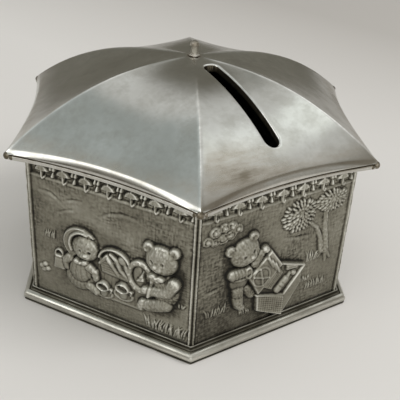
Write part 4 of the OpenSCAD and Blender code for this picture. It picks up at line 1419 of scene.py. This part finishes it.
def add_stopper():
    """A moulded push-in stopper: a grooved flange, a finger recess and a hollow plug."""
    low, top = stopper_low[2], stopper_high[2]
    flange_r, flange_top = stopper_high[0], plate_low[2] - 0.05
    plug_r, recess_top = COIN_HOLE_R - 0.08, low + 2.8
    inside_r, inside_z = plug_r - 2.0, recess_top + 1.3
    section = [(0, inside_z), (inside_r - 0.5, inside_z)]
    section += quarter((inside_r - 0.5, inside_z), (inside_r, inside_z + 0.5), False, 4)
    section += [(inside_r, top - 0.4)] + quarter((inside_r, top - 0.4), (inside_r + 0.4, top), True, 4)
    section += [(plug_r - 0.7, top)] + quarter((plug_r, top - 0.7), (plug_r - 0.7, top), True, 5)[::-1]
    section += [(plug_r, flange_top + 1.5), (plug_r - 0.25, flange_top + 1.3), (plug_r - 0.25, flange_top)]
    section += [(flange_r - 0.3, flange_top)]
    section += quarter((flange_r, flange_top - 0.3), (flange_r - 0.3, flange_top), True, 4)[::-1]
    section += quarter((flange_r, low + 0.4), (flange_r - 0.4, low), True, 5)
    for groove_r in (19.6, 18.4):
        for step, rise in ((0.35, 0), (0.1, 0.22), (-0.1, 0.22), (-0.35, 0)):
            section.append((groove_r + step, low + rise))
    recess_r = STOPPER_RECESS_R
    section += [(recess_r + 0.5, low)] + quarter((recess_r, low + 0.5), (recess_r + 0.5, low), True, 5)[::-1]
    section += [(recess_r, recess_top - 0.6)]
    section += quarter((recess_r, recess_top - 0.6), (recess_r - 0.6, recess_top), True, 4)
    section += [(0, recess_top)]
    plug = turned("stopper_plug", section, 96, "stopper", PLASTIC, 35)
    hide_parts("stopper")


def add_grip_bar():
    """The bar across the stopper's recess: flat underneath with rounded edges and hollowed sides."""
    half_w, low = 2.5, stopper_low[2]
    top = low + 2.9
    section = [(-half_w - 0.35, top), (-half_w, top - 0.5), (-half_w + 0.25, top - 1.4), (-half_w, low + 0.5)]
    section += quarter((-half_w, low + 0.5), (-half_w + 0.5, low), True, 4)[1:]
    section += [(-y, z) for y, z in section[::-1]]
    stations = np.linspace(-1, 1, 25)
    verts, count = [], len(section)
    for share in stations:
        for y, z in section:
            reach = math.sqrt(STOPPER_RECESS_R**2 - y**2) + 0.1
            sink = 0.35 * (1 - share**2) * (z < low + 0.7)
            verts.append((share * reach, y, z + sink))
    faces = quad_sheet(len(stations), count)
    faces += [tuple(range(count)), tuple(range((len(stations) - 1) * count, len(stations) * count))]
    make_piece("grip_bar", verts, faces, "stopper", PLASTIC, 45)


# ---------------------------------------------------------------- the object


add_roof()
add_rib_tips()
add_ferrule()
for wall_name, wall_facing, wall_picture in (
    ("picnic", -150, scene_picnic), ("hamper", -90, scene_hamper), ("kite", -30, scene_kite),
    ("boat", 30, scene_boat), ("swing", 90, scene_swing), ("garden", 150, scene_garden),
):
    add_wall(wall_name, wall_facing, wall_picture)
add_moulding()
add_plate()
add_stopper()
add_grip_bar()

# ---------------------------------------------------------------- floor, light and camera


def add_floor():
    """A plain floor, eight metres each way."""
    ticks = np.linspace(-4, 4, 9)
    points = [(x, y, 0) for y in ticks for x in ticks]
    mesh = bpy.data.meshes.new("floor")
    mesh.from_pydata(points, [], quad_sheet(len(ticks), len(ticks), wrap_columns=False))
    mesh.materials.append(paper_floor())
    floor = bpy.data.objects.new("floor", mesh)
    bpy.context.scene.collection.objects.link(floor)


def direction(azimuth, elevation):
    """The unit vector towards a direction in degrees."""
    a, e = math.radians(azimuth), math.radians(elevation)
    return Vector((math.cos(a) * math.cos(e), math.sin(a) * math.cos(e), math.sin(e)))


def add_room_light():
    """The soft light of a plain room, as a background: pale all round, with bright and dark patches for the
    metal to mirror. A patch is full within its inner angle of its direction, and gone at its outer one."""
    world = bpy.data.worlds.new("room")
    world.use_nodes = True
    bpy.context.scene.world = world
    room = Nodes(world.node_tree)
    facing = room.add("TexCoord", output="Generated")
    glow = (0.36, 0.35, 0.32)
    for azimuth, elevation, inner, outer, colour in (
        (0, 90, 25, 95, (0.76, 0.76, 0.74)),
        (-120, 30, 15, 60, (1.1, 1.1, 1.07)),
        (-41, 34, 8, 21, (0.22, 0.195, 0.155)),
        (58, 9, 28, 45, (0.18, 0.17, 0.14)),
        (46, 53, 3, 9, (0.36, 0.36, 0.33)),
        (131, 55, 15, 24, (0.445, 0.482, 0.472)),
        (-9, 58, 3, 7, (1.42, 1.47, 1.43)),
        (3, 58, 3, 7, (1.3, 1.35, 1.31)),
        (174, 36, 5, 16, (2.6, 2.6, 2.55)),
        (188, -2, 12, 26, (0.12, 0.105, 0.08)),
    ):
        towards = {0: facing, 1: direction(azimuth, elevation)}
        closeness = room.add("VectorMath", towards, output="Value", operation="DOT_PRODUCT")
        fall = {
            "Value": closeness,
            "From Min": math.cos(math.radians(outer)),
            "From Max": math.cos(math.radians(inner)),
        }
        patch = room.add("MapRange", fall, output="Result", interpolation_type="SMOOTHSTEP")
        glow = room.mixed(patch, glow, colour)
    room.feed(room.tree.nodes["Background"].inputs["Color"], glow)


def add_lamp(name, azimuth, elevation, distance, size, watts):
    """A soft square lamp in that direction, turned towards the box. The metal doesn't mirror it."""
    lamp = bpy.data.lights.new(name, "AREA")
    lamp.size, lamp.energy = size, watts
    holder = bpy.data.objects.new(name, lamp)
    towards = direction(azimuth, elevation)
    holder.location = towards * distance
    holder.rotation_euler = towards.to_track_quat("Z", "Y").to_euler()
    holder.visible_glossy = False
    bpy.context.scene.collection.objects.link(holder)


def add_camera():
    """The photo's viewing angle: turned and raised by those degrees, and rolled a little."""
    camera = bpy.data.cameras.new("camera")
    camera.lens = 64.41
    camera.sensor_width = 36
    holder = bpy.data.objects.new("camera", camera)
    bpy.context.scene.collection.objects.link(holder)
    place = Vector((-0.10836, -0.16415, 0.13129))
    azimuth, elevation, roll = -90 - 34.66, 29.71, math.radians(3.608)
    back = direction(azimuth, elevation)
    level = Vector((0, 0, 1)).cross(back).normalized()
    upright = back.cross(level)
    right = math.cos(roll) * level + math.sin(roll) * upright
    up = math.cos(roll) * upright - math.sin(roll) * level
    turn = Matrix((right, up, back)).transposed()
    holder.matrix_world = Matrix.Translation(place) @ turn.to_4x4()
    bpy.context.scene.camera = holder
    bpy.context.scene.view_settings.view_transform = "Standard"


add_floor()
add_room_light()
add_lamp("side_lamp", -48, 46, 1.2, 0.5, 6)
add_camera()
